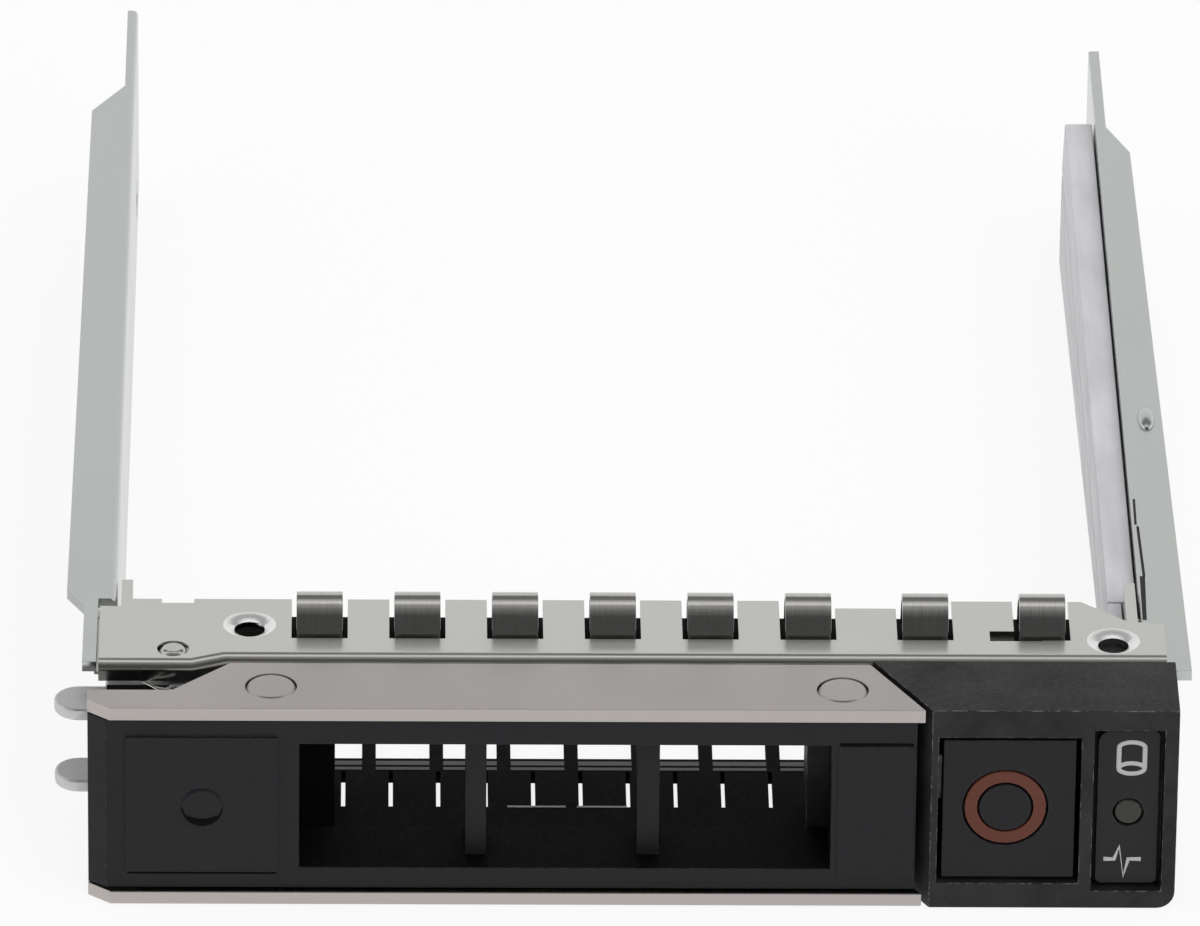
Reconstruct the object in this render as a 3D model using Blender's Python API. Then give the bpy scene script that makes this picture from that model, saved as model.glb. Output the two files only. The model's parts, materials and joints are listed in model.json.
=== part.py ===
"""Empty carrier tray for a 2.5-inch drive: steel frame, swing lever and release button.

Sizes are in millimetres and become metres when a mesh is made. X runs to the right,
Y to the back and Z up. The tray is drawn with Y = 0 on its front face and X = 0 on the
middle of the drive, and is then shifted so that the origin lies under its middle.
"""
import math

import bmesh
import bpy
from mathutils import Matrix, Vector

MM = 0.001

# Clearances
SEAT_GAP = 0.3
SLIDE_GAP = 0.35
FIT_GAP = 0.15
PIN_GAP = 0.09
CUT_SPARE = 1.0

# Drive that the tray takes, and where its side screws are
DRIVE_WIDTH = 69.85
DRIVE_PLAY = 0.1
DRIVE_FRONT = 16.6
SCREW_FROM_DRIVE_FRONT = 9.4
SCREW_SPACING = 76.6
SCREW_HEIGHT = 4.2
SCREW_HOLE_RADIUS = 1.6

# Sheet-steel frame
TRAY_HEIGHT = 16.0
SHEET = 0.8
FLANGE_WIDTH = 2.8
RIGHT_FLANGE_WIDTH = 2.5
RAIL_END = 98.5
RIGHT_RAIL_SHORTER = 4.2
TONGUE_LENGTH = 13.0
TONGUE_RISE = 1.0
FLANGE_CHAMFER = 4.3
LEFT_FLANGE_TAPER = 0.35
RIGHT_FLANGE_TAPER = 0.85
LEFT_WALL_START = 16.2
RIGHT_WALL_START = 8.0
NARROW_FLANGE_FRONT = 6.8
NARROW_FLANGE_WIDTH = 1.0
FLANGE_STEP_START = 15.2
FLANGE_STEP_LENGTH = 2.4

# Crossbar over the front
CROSSBAR_FRONT = 7.6
CROSSBAR_REAR = 16.2
CROSSBAR_LEFT_FRONT = 6.7
CROSSBAR_LEFT = -37.3
CROSSBAR_RIGHT = 38.7
JOG_START = -30.6
JOG_END = -28.3
RIGHT_CUT_INNER = 32.9
RIGHT_CUT_OUTER = 36.0
RIGHT_CUT_DEPTH = 2.8
LEFT_CORNER_NOTCH = 1.1
LEFT_CORNER_NOTCH_END = -35.2
REAR_NOTCH_START = -32.9
REAR_NOTCH_END = -30.6
REAR_NOTCH_DEPTH = 0.6
SHORT_WEB_REAR = 15.1
SIDE_NOTCH_LEFT = 26.2
SIDE_NOTCH_FRONT = 10.3
SIDE_NOTCH_REAR = 11.75
LIP_HEIGHT = 1.6
TAB_FRONT = 14.2
TAB_REAR = 20.0
TAB_TOP_DROP = 0.5
UPPER_TAB_BOTTOM = 10.9
LOWER_TAB_TOP = 4.3
COUNTERSINK_RADIUS = 1.9
COUNTERSINK_HOLE_RADIUS = 1.1
COUNTERSINK_PLACES = ((-26.6, 12.4), (35.0, 10.4))

# Black base plate under the front, with slits, a comb of teeth at its rear edge and a block at the left
BASE_THICKNESS = 1.0
BASE_REAR = 19.8
SLIT_COUNT = 10
SLIT_PITCH = 3.42
SLIT_WIDTH = 0.3
SLIT_FIRST = -19.9
SLIT_FRONT = 12.7
SLIT_LENGTH = 5.2
TOOTH_COUNT = 10
TOOTH_PITCH = 4.87
TOOTH_WIDTH = 1.0
TOOTH_FIRST = -27.8
TOOTH_LENGTH = 3.8
BLOCK_LEFT = -28.9
BLOCK_RIGHT = -20.5

# Curled contact fingers on the crossbar
FINGER_FIRST = -21.6
FINGER_PITCH = 6.97
FINGER_COUNT = 6
FINGER_WIDE_PITCH = 8.35
FINGER_WIDE_COUNT = 2
FINGER_WIDTH = 3.3
FINGER_SHEET = 0.3
FINGER_REACH = 2.1
FINGER_RISE = 3.15
FINGER_MIDDLE = 13.1
FINGER_STEPS = 16
STRIP_FRONT = 8.9

# Rivets that hold the crossbar and the base plate to the rails
RIVET_RADIUS = 0.9
RIVET_HEAD_RADIUS = 1.4
RIVET_HEAD = 0.5
RIVET_PLACE = 18.3
UPPER_RIVET_HEIGHT = 12.5
LOWER_RIVET_HEIGHT = 2.3

# Hinge
PIN_X = -32.0
PIN_Y = 8.8
PIN_RADIUS = 1.0
PIN_BEVEL = 0.3
PIN_PROUD = 0.1
SPRING_RADIUS = 1.95
SPRING_WIRE = 0.5
SPRING_TURNS = 4
SPRING_PITCH = 0.98
CURL_POINTS = 10

# Lever
LEVER_LEFT = -38.0
LEVER_CHAMFER_X = 1.6
LEVER_CHAMFER_Y = 1.3
LEVER_THIN = 2.7
LEVER_DEPTH = 6.7
LEVER_SHOULDER_START = -32.0
LEVER_SHOULDER_END = -27.9
LEVER_PLATE = 1.0
LEVER_FLOOR = 0.1
CORE_INSET = 0.4
TIP_X = 21.8
TIP_SLANT = 4.2
TIP_GAP = 0.5
WINDOW_LEFT = -23.0
WINDOW_RIGHT = 14.75
WINDOW_LOW = 2.9
WINDOW_HIGH = 12.9
DIVIDERS = ((-11.2, 1.5), (1.0, 1.6))
DIVIDER_FRONT = 2.45
PATCH_LEFT = -35.3
PATCH_WIDTH = 10.8
PATCH_LOW = 2.6
PATCH_HIGH = 13.5
PATCH_PROUD = 0.2
PAD_LEFT = 15.2
PAD_RIGHT = 20.6
PAD_LOW = 2.3
PAD_HIGH = 12.9
PAD_PROUD = 0.15
LEVER_RIVETS = (("lever_rivet_left", -25.0, 3.3), ("lever_rivet_right", 15.5, 3.0))
LEVER_RIVET_RADIUS = 0.5
LEVER_RIVET_HEAD_RADIUS = 1.7
LEVER_RIVET_HEAD = 0.55

# Cam bracket with the two hooks that grip the cage
HOOK_REACH = 2.4
HOOK_FRONT = 3.1
HOOK_LENGTH = 3.5
BRACKET_PLATE = 1.0
BRACKET_TOPS = (14.2, 8.4)
BRACKET_TAB_LEFT = -36.8
BRACKET_TAB_WIDTH = 2.6
BRACKET_TAB_FRONT = 1.2
BRACKET_ARM_REAR = 7.6
BRACKET_BOSS_RADIUS = 2.1
BRACKET_WEB = 1.2

# Housing at the right of the front
HOUSING_RIGHT = 39.3
HOUSING_REAR = 13.9
HOUSING_CORNER = 1.3
HOUSING_INNER_LEFT = 13.2
POCKET_LEFT = 22.3
POCKET_RIGHT = 32.4
POCKET_LOW = 2.0
POCKET_HIGH = 13.8
RECESS_LEFT = 33.3
RECESS_RIGHT = 38.3
RECESS_LOW = 1.4
RECESS_HIGH = 14.4
RECESS_DEPTH = 1.6
RISER_LEFT = 33.4

# Release button, its ring, spring and catch
BUTTON_FRONT = 0.3
BUTTON_THICKNESS = 2.7
BUTTON_TRAVEL = 1.5
RING_X = 27.1
RING_Z = 8.0
RING_RADIUS = 2.9
RING_WIDTH = 0.9
RING_DEPTH = 0.6
STEM_X = 30.0
STEM_RADIUS = 0.7
STEM_LENGTH = 1.6
BUTTON_SPRING_RADIUS = 1.3
BUTTON_SPRING_WIRE = 0.4
BUTTON_SPRING_TURNS = 3
CATCH_RIGHT = 26.6
CATCH_DEPTH = 2.1
CATCH_LOW = 6.2
CATCH_HEIGHT = 3.6

# Indicator panel, lens and light pipes
PANEL_THICKNESS = 0.7
PANEL_CORNER = 1.0
LENS_X = 35.85
LENS_Z = 7.5
LENS_RADIUS = 0.95
PIPE_THICKNESS = 1.95
PIPE_GAP = 0.25
PIPE_HEIGHT = 2.0
PIPE_SPACE = 0.4
PIPE_LOW = 6.2
PIPE_END = 99.5
PIPE_RIB_TOP = 13.8
PIPE_END_SLANT = 2.5

# Sides of a full circle
ROUND_SIDES = 24

# Places that follow from the sizes above
SIDE_SPACE = SHEET + SEAT_GAP + DRIVE_PLAY
LEFT_WALL = -(DRIVE_WIDTH / 2 + SIDE_SPACE)
RIGHT_WALL = DRIVE_WIDTH / 2 + PIPE_THICKNESS + PIPE_GAP + DRIVE_PLAY
LEFT_EDGE = LEFT_WALL - SHEET - FLANGE_WIDTH
RIGHT_EDGE = RIGHT_WALL + SHEET + RIGHT_FLANGE_WIDTH
PLATE_BOTTOM = TRAY_HEIGHT - SHEET
LIP_BOTTOM = TRAY_HEIGHT - LIP_HEIGHT
LEFT_LIP_BOTTOM = BRACKET_TOPS[0] + SEAT_GAP
LIP_REAR = CROSSBAR_FRONT + SHEET
RIGHT_TAB_FRONT = CROSSBAR_REAR - RIGHT_CUT_DEPTH - SHEET
RIGHT_FLANGE_TOP = PLATE_BOTTOM - SEAT_GAP
STRIP_TOP = PLATE_BOTTOM - SEAT_GAP
STRIP_BOTTOM = STRIP_TOP - FINGER_SHEET
INNER_TOP = min(STRIP_BOTTOM, LIP_BOTTOM) - SEAT_GAP
FLOOR_TOP = BASE_THICKNESS + SEAT_GAP
LEVER_TOP = TRAY_HEIGHT
CORE_LOW = LEVER_FLOOR + LEVER_PLATE + FIT_GAP
CORE_HIGH = LEVER_TOP - LEVER_PLATE - FIT_GAP
HOOK_TIP = LEVER_LEFT - HOOK_REACH
RAIL_TIP = RAIL_END + TONGUE_LENGTH
BUTTON_REAR = BUTTON_FRONT + BUTTON_THICKNESS
CATCH_FRONT = BUTTON_REAR + BUTTON_TRAVEL + SEAT_GAP
CATCH_REAR = CATCH_FRONT + CATCH_DEPTH
POCKET_DEPTH = CATCH_REAR + SEAT_GAP
ORIGIN = Vector((-(HOOK_TIP + RIGHT_EDGE) / 2, -RAIL_TIP / 2, 0)) * MM


def box(low, high):
    """Return a block between two corners."""
    shape = bmesh.new()
    bmesh.ops.create_cube(shape, size=1)
    size = Vector(high) - Vector(low)
    middle = (Vector(high) + Vector(low)) / 2
    bmesh.ops.scale(shape, vec=size * MM, verts=shape.verts)
    bmesh.ops.translate(shape, vec=middle * MM, verts=shape.verts)
    return shape


def prism(outline, low, high, axis="Z"):
    """Return an outline drawn across an axis and extruded along it from low to high."""
    places = {
        "X": lambda a, b: (low, a, b),
        "Y": lambda a, b: (a, low, b),
        "Z": lambda a, b: (a, b, low),
    }
    along = {"X": (1, 0, 0), "Y": (0, 1, 0), "Z": (0, 0, 1)}[axis]
    shape = bmesh.new()
    corners = [shape.verts.new(Vector(places[axis](a, b)) * MM) for a, b in outline]
    face = shape.faces.new(corners)
    grown = bmesh.ops.extrude_face_region(shape, geom=[face])
    moved = [item for item in grown["geom"] if isinstance(item, bmesh.types.BMVert)]
    bmesh.ops.translate(shape, vec=Vector(along) * (high - low) * MM, verts=moved)
    bmesh.ops.recalc_face_normals(shape, faces=shape.faces)
    return shape


def turned(profile, centre, axis="Z", sides=ROUND_SIDES):
    """Return a profile of (radius, height) points turned about an axis through centre."""
    shape = bmesh.new()
    points = [shape.verts.new(Vector((radius, 0, height)) * MM) for radius, height in profile]
    edges = [shape.edges.new(pair) for pair in zip(points, points[1:])]
    bmesh.ops.spin(
        shape, geom=points + edges, cent=(0, 0, 0), axis=(0, 0, 1),
        angle=math.tau, steps=sides, use_merge=True,
    )
    bmesh.ops.remove_doubles(shape, verts=shape.verts, dist=1e-7)
    turns = {
        "X": Matrix.Rotation(math.pi / 2, 3, "Y"),
        "Y": Matrix.Rotation(-math.pi / 2, 3, "X"),
        "Z": Matrix.Identity(3),
    }
    bmesh.ops.rotate(shape, cent=(0, 0, 0), matrix=turns[axis], verts=shape.verts)
    bmesh.ops.translate(shape, vec=Vector(centre) * MM, verts=shape.verts)
    bmesh.ops.recalc_face_normals(shape, faces=shape.faces)
    return shape


def rod(radius, low, high, centre, axis="Z"):
    """Return a round bar from low to high along an axis."""
    return turned(((0, low), (radius, low), (radius, high), (0, high)), centre, axis)


def arc(centre, radius, start, end, steps=6):
    """Return points on an arc, with its angles in degrees."""
    points = []
    for step in range(steps + 1):
        angle = math.radians(start + (end - start) * step / steps)
        points.append((centre[0] + radius * math.cos(angle), centre[1] + radius * math.sin(angle)))
    return points


def finish(name, colour, roughness, metallic):
    """Return a plain material."""
    made = bpy.data.materials.new(name)
    made.use_nodes = True
    shader = made.node_tree.nodes["Principled BSDF"]
    shader.inputs["Base Color"].default_value = (*colour, 1)
    shader.inputs["Roughness"].default_value = roughness
    shader.inputs["Metallic"].default_value = metallic
    return made


def empty(name, place, parent=None):
    """Return an empty that carries a group of pieces."""
    made = bpy.data.objects.new(name, None)
    bpy.context.collection.objects.link(made)
    made.parent = parent
    made.location = Vector(place) * MM
    return made


def new_object(name, shape, carrier):
    """Return an object that holds a shape, set on the empty that carries it."""
    mesh = bpy.data.meshes.new(name)
    shape.to_mesh(mesh)
    shape.free()
    made = bpy.data.objects.new(name, mesh)
    bpy.context.collection.objects.link(made)
    made.parent = carrier
    if carrier.parent:
        made.location = -carrier.location
    return made


def boolean(target, shape, operation):
    """Join a shape to a piece, or cut it out of the piece."""
    number = len(target.modifiers) + 1
    helper = new_object(f"{target.name}_{operation.lower()}_{number}", shape, target.parent)
    helper.hide_render = True
    helper.display_type = "WIRE"
    modifier = target.modifiers.new(helper.name, "BOOLEAN")
    modifier.object = helper
    modifier.operation = operation
    modifier.solver = "EXACT"


def piece(name, shape, material, carrier, adds=(), cuts=()):
    """Make one named piece from a shape, what is joined to it and what is cut out."""
    made = new_object(name, shape, carrier)
    made.data.materials.append(material)
    made.data.shade_smooth()
    made.data.set_sharp_from_angle(angle=math.radians(35))
    for extra in adds:
        boolean(made, extra, "UNION")
    for cutter in cuts:
        boolean(made, cutter, "DIFFERENCE")
    return made


def screw_holes(wall_low, wall_high):
    """Return the cutters for the drive's side screws in one rail."""
    places = (DRIVE_FRONT + SCREW_FROM_DRIVE_FRONT, DRIVE_FRONT + SCREW_FROM_DRIVE_FRONT + SCREW_SPACING)
    low = wall_low - CUT_SPARE
    high = wall_high + CUT_SPARE
    return [rod(SCREW_HOLE_RADIUS, low, high, (0, place, SCREW_HEIGHT), "X") for place in places]


def rivet_holes(wall_low, wall_high):
    """Return the cutters for the two rivets at one end of the crossbar and base plate."""
    low = wall_low - CUT_SPARE
    high = wall_high + CUT_SPARE
    heights = (UPPER_RIVET_HEIGHT, LOWER_RIVET_HEIGHT)
    return [rod(RIVET_RADIUS + FIT_GAP, low, high, (0, RIVET_PLACE, height), "X") for height in heights]


def rail_wall(low, high, start, end, top):
    """Return a rail's upright wall with its tongue at the back."""
    tip = end + TONGUE_LENGTH
    outline = [(start, 0), (end, 0), (tip, TONGUE_RISE), (tip, top), (start, top)]
    return prism(outline, low, high, "X")


def make_left_rail(steel, tray):
    """Make the left rail: wall, top flange with a narrow front part, and tongue."""
    outer = LEFT_WALL - SHEET
    narrow = CROSSBAR_LEFT - FIT_GAP
    narrow_edge = narrow - NARROW_FLANGE_WIDTH
    step_end = FLANGE_STEP_START + FLANGE_STEP_LENGTH
    flange = [
        (narrow, NARROW_FLANGE_FRONT), (narrow, LEFT_WALL_START), (LEFT_WALL, LEFT_WALL_START),
        (LEFT_WALL, RAIL_END), (outer, RAIL_END),
        (LEFT_EDGE + LEFT_FLANGE_TAPER, RAIL_END - FLANGE_CHAMFER), (LEFT_EDGE, step_end),
        (narrow_edge, FLANGE_STEP_START), (narrow_edge, NARROW_FLANGE_FRONT),
    ]
    wall = rail_wall(outer, LEFT_WALL, LEFT_WALL_START, RAIL_END, TRAY_HEIGHT)
    adds = [prism(flange, TRAY_HEIGHT - SHEET, TRAY_HEIGHT)]
    cuts = screw_holes(outer, LEFT_WALL) + rivet_holes(outer, LEFT_WALL)
    piece("left_rail", wall, steel, tray, adds, cuts)


def make_right_rail(steel, tray):
    """Make the right rail, whose top flange passes under the crossbar's end."""
    outer = RIGHT_WALL + SHEET
    end = RAIL_END - RIGHT_RAIL_SHORTER
    flange = [
        (RIGHT_WALL, RIGHT_WALL_START), (RIGHT_EDGE, RIGHT_WALL_START),
        (RIGHT_EDGE - RIGHT_FLANGE_TAPER, end - FLANGE_CHAMFER), (outer, end), (RIGHT_WALL, end),
    ]
    wall = rail_wall(RIGHT_WALL, outer, RIGHT_WALL_START, end, RIGHT_FLANGE_TOP)
    adds = [prism(flange, RIGHT_FLANGE_TOP - SHEET, RIGHT_FLANGE_TOP)]
    cuts = screw_holes(RIGHT_WALL, outer) + rivet_holes(RIGHT_WALL, outer)
    piece("right_rail", wall, steel, tray, adds, cuts)


def finger_places():
    """Return the middle of each contact finger along X."""
    places = [FINGER_FIRST + FINGER_PITCH * number for number in range(FINGER_COUNT)]
    for _ in range(FINGER_WIDE_COUNT):
        places.append(places[-1] + FINGER_WIDE_PITCH)
    return places


def end_tab(wall, side, low, high, front):
    """Return a tab that lies along the inside of a rail's wall; side is 1 at the right."""
    near = wall - side * SEAT_GAP
    far = near - side * SHEET
    return box((min(near, far), front, low), (max(near, far), TAB_REAR, high))


def make_crossbar(steel, tray):
    """Make the top plate with its front lip, finger slots, end tabs and countersunk holes."""
    notch_rear = CROSSBAR_REAR - LEFT_CORNER_NOTCH
    cut_front = CROSSBAR_REAR - RIGHT_CUT_DEPTH
    outline = [
        (CROSSBAR_LEFT, CROSSBAR_LEFT_FRONT), (JOG_START, CROSSBAR_LEFT_FRONT),
        (JOG_END, CROSSBAR_FRONT), (CROSSBAR_RIGHT, CROSSBAR_FRONT),
        (CROSSBAR_RIGHT, cut_front - REAR_NOTCH_DEPTH), (RIGHT_CUT_OUTER, cut_front),
        (RIGHT_CUT_INNER, CROSSBAR_REAR), (REAR_NOTCH_END, CROSSBAR_REAR),
        (REAR_NOTCH_END, CROSSBAR_REAR - REAR_NOTCH_DEPTH),
        (REAR_NOTCH_START, CROSSBAR_REAR - REAR_NOTCH_DEPTH), (REAR_NOTCH_START, CROSSBAR_REAR),
        (LEFT_CORNER_NOTCH_END, CROSSBAR_REAR), (LEFT_CORNER_NOTCH_END, notch_rear),
        (CROSSBAR_LEFT, notch_rear),
    ]
    plate = prism(outline, PLATE_BOTTOM, TRAY_HEIGHT)
    tab_top = TRAY_HEIGHT - TAB_TOP_DROP
    lip_low = (JOG_END, CROSSBAR_FRONT, LIP_BOTTOM)
    lip_high = (RIGHT_WALL - SEAT_GAP, LIP_REAR, tab_top)
    left_lip = [
        (CROSSBAR_LEFT, CROSSBAR_LEFT_FRONT), (JOG_START, CROSSBAR_LEFT_FRONT), (JOG_END, CROSSBAR_FRONT),
        (JOG_END + SHEET, CROSSBAR_FRONT), (JOG_END + SHEET, LIP_REAR), (JOG_END, LIP_REAR),
        (JOG_START, CROSSBAR_LEFT_FRONT + SHEET), (CROSSBAR_LEFT, CROSSBAR_LEFT_FRONT + SHEET),
    ]
    adds = [
        box(lip_low, lip_high),
        prism(left_lip, LEFT_LIP_BOTTOM, tab_top),
        end_tab(LEFT_WALL, -1, UPPER_TAB_BOTTOM, tab_top, TAB_FRONT),
        end_tab(RIGHT_WALL, 1, UPPER_TAB_BOTTOM, tab_top, RIGHT_TAB_FRONT),
    ]
    slot_front = FINGER_MIDDLE - FINGER_REACH - FINGER_SHEET - SEAT_GAP
    slot_half = FINGER_WIDTH / 2 + SLIDE_GAP
    above = TRAY_HEIGHT + CUT_SPARE
    behind = CROSSBAR_REAR + CUT_SPARE
    places = finger_places()
    cuts = []
    for place in places:
        low = (place - slot_half, slot_front, STRIP_BOTTOM)
        high = (place + slot_half, behind, above)
        cuts.append(box(low, high))
    web_left, web_right = places[FINGER_COUNT - 1:FINGER_COUNT + 1]
    cuts.append(box((web_left, SHORT_WEB_REAR, STRIP_BOTTOM), (web_right, behind, above)))
    side_low = (SIDE_NOTCH_LEFT, SIDE_NOTCH_FRONT, STRIP_BOTTOM)
    cuts.append(box(side_low, (places[-1], SIDE_NOTCH_REAR, above)))
    spread = COUNTERSINK_RADIUS - COUNTERSINK_HOLE_RADIUS
    sunk = (
        (0, STRIP_BOTTOM), (COUNTERSINK_HOLE_RADIUS, STRIP_BOTTOM),
        (COUNTERSINK_HOLE_RADIUS, TRAY_HEIGHT - spread / 2), (COUNTERSINK_RADIUS, TRAY_HEIGHT),
        (COUNTERSINK_RADIUS, above), (0, above),
    )
    cuts += [turned(sunk, (x, y, 0)) for x, y in COUNTERSINK_PLACES]
    cuts.append(rod(PIN_RADIUS + FIT_GAP, STRIP_BOTTOM, above, (PIN_X, PIN_Y, 0)))
    cuts += rivet_holes(LEFT_WALL, LEFT_WALL + SIDE_SPACE)
    cuts += rivet_holes(RIGHT_WALL - SIDE_SPACE, RIGHT_WALL)
    piece("crossbar", plate, steel, tray, adds, cuts)


def make_base_plate(black, tray):
    """Make the base plate under the front, with its slits, teeth, end tabs and block."""
    left = LEFT_WALL + SEAT_GAP
    right = RIGHT_WALL - SEAT_GAP
    outline = [
        (left, CROSSBAR_LEFT_FRONT), (JOG_START, CROSSBAR_LEFT_FRONT), (JOG_END, CROSSBAR_FRONT),
        (right, CROSSBAR_FRONT), (right, BASE_REAR), (left, BASE_REAR),
    ]
    adds = [
        end_tab(LEFT_WALL, -1, 0, LOWER_TAB_TOP, TAB_FRONT),
        end_tab(RIGHT_WALL, 1, 0, LOWER_TAB_TOP, TAB_FRONT),
        box((BLOCK_LEFT, LIP_REAR + SEAT_GAP, 0), (BLOCK_RIGHT, CROSSBAR_REAR, INNER_TOP)),
    ]
    for number in range(TOOTH_COUNT):
        middle = TOOTH_FIRST + TOOTH_PITCH * number
        low = (middle - TOOTH_WIDTH / 2, BASE_REAR - SHEET, 0)
        high = (middle + TOOTH_WIDTH / 2, BASE_REAR + TOOTH_LENGTH, BASE_THICKNESS)
        adds.append(box(low, high))
    above = BASE_THICKNESS + CUT_SPARE
    cuts = [rod(PIN_RADIUS + FIT_GAP, -CUT_SPARE, above, (PIN_X, PIN_Y, 0))]
    for number in range(SLIT_COUNT):
        middle = SLIT_FIRST + SLIT_PITCH * number
        low = (middle - SLIT_WIDTH / 2, SLIT_FRONT, -CUT_SPARE)
        high = (middle + SLIT_WIDTH / 2, SLIT_FRONT + SLIT_LENGTH, above)
        cuts.append(box(low, high))
    cuts += rivet_holes(LEFT_WALL, LEFT_WALL + SIDE_SPACE)
    cuts += rivet_holes(RIGHT_WALL - SIDE_SPACE, RIGHT_WALL)
    piece("base_plate", prism(outline, 0, BASE_THICKNESS), black, tray, adds, cuts)


def finger_profile():
    """Return the side view of one curled finger, a strip bent into half an ellipse."""
    foot = STRIP_BOTTOM + FINGER_SHEET / 2
    outer = []
    inner = []
    for step in range(FINGER_STEPS + 1):
        angle = math.pi * step / FINGER_STEPS
        across = math.cos(angle)
        up = math.sin(angle)
        half = FINGER_SHEET / 2
        outer.append((FINGER_MIDDLE + (FINGER_REACH + half) * across, foot + (FINGER_RISE + half) * up))
        inner.append((FINGER_MIDDLE + (FINGER_REACH - half) * across, foot + (FINGER_RISE - half) * up))
    return outer + inner[::-1]


def make_finger_strip(bright, tray):
    """Make the spring strip whose curled fingers stand out of the crossbar."""
    places = finger_places()
    half = FINGER_WIDTH / 2
    strip_rear = FINGER_MIDDLE - FINGER_REACH + FINGER_SHEET
    strip = box((places[0] - half, STRIP_FRONT, STRIP_BOTTOM), (places[-1] + half, strip_rear, STRIP_TOP))
    fingers = [prism(finger_profile(), place - half, place + half, "X") for place in places]
    piece("finger_strip", strip, bright, tray, fingers)


def make_rail_rivets(steel, tray):
    """Make the rivets through the rails and the end tabs, flush on the drive's side."""
    length = SEAT_GAP + 2 * SHEET + FIT_GAP
    sides = {
        "left": (LEFT_WALL + SEAT_GAP + SHEET, -1),
        "right": (RIGHT_WALL - SEAT_GAP - SHEET, 1),
    }
    heights = {"upper": UPPER_RIVET_HEIGHT, "lower": LOWER_RIVET_HEIGHT}
    for side, (inner, way) in sides.items():
        seat = inner + way * length
        top = seat + way * RIVET_HEAD
        for level, height in heights.items():
            profile = (
                (0, inner), (RIVET_RADIUS, inner), (RIVET_RADIUS, seat),
                (RIVET_HEAD_RADIUS, seat), (RIVET_HEAD_RADIUS, top), (0, top),
            )
            shape = turned(profile, (0, RIVET_PLACE, height), "X", sides=16)
            piece(f"rail_rivet_{side}_{level}", shape, steel, tray)


def make_hinge_pin(steel, tray):
    """Make the pin that the lever turns on, whose end shows on the crossbar."""
    top = TRAY_HEIGHT + PIN_PROUD
    profile = (
        (0, SEAT_GAP), (PIN_RADIUS, SEAT_GAP), (PIN_RADIUS, top - PIN_BEVEL),
        (PIN_RADIUS - PIN_BEVEL, top), (0, top),
    )
    piece("hinge_pin", turned(profile, (PIN_X, PIN_Y, 0)), steel, tray)


def coil_points(radius, turns, pitch, wire):
    """Return points along a coil about Z, with a short straight run at each end."""
    count = turns * CURL_POINTS
    points = []
    for step in range(count + 1):
        angle = math.tau * step / CURL_POINTS
        height = pitch * step / CURL_POINTS
        points.append(Vector((radius * math.cos(angle), radius * math.sin(angle), height)))
    first = points[0] + Vector((0, -wire, 0))
    last = points[-1] + Vector((0, wire, 0))
    return [first] + points + [last]


def report_least_gap(name, points, wire):
    """Print the least space between two turns of a coil."""
    apart = CURL_POINTS // 2
    gaps = []
    for number, point in enumerate(points):
        for other in points[number + apart + 1:]:
            gaps.append((point - other).length - wire)
    print(f"{name}: least gap between turns {min(gaps):.2f} mm")


def make_coil(name, points, wire, matrix, material, carrier):
    """Make a wound wire spring along points, turned and placed by a matrix."""
    report_least_gap(name, points, wire)
    curve = bpy.data.curves.new(name, "CURVE")
    curve.dimensions = "3D"
    curve.bevel_depth = wire / 2 * MM
    curve.bevel_resolution = 1
    curve.use_fill_caps = True
    line = curve.splines.new("POLY")
    line.points.add(len(points) - 1)
    for target, point in zip(line.points, points):
        target.co = (*(matrix @ point * MM), 1)
    made = bpy.data.objects.new(name, curve)
    bpy.context.collection.objects.link(made)
    made.parent = carrier
    if carrier.parent:
        made.location = -carrier.location
    curve.materials.append(material)


def make_lever_spring(bright, tray):
    """Make the torsion spring round the hinge pin, between the bracket's two plates."""
    low = BRACKET_TOPS[1]
    high = BRACKET_TOPS[0] - BRACKET_PLATE
    length = SPRING_TURNS * SPRING_PITCH
    start = low + (high - low - length) / 2
    points = coil_points(SPRING_RADIUS, SPRING_TURNS, SPRING_PITCH, SPRING_WIRE)
    place = Matrix.Translation((PIN_X, PIN_Y, start))
    make_coil("lever_spring", points, SPRING_WIRE, place, bright, tray)


def slant_x(y):
    """Return where the slanted end of the housing stands at a depth."""
    return TIP_X - TIP_SLANT * y / CROSSBAR_FRONT


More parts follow.
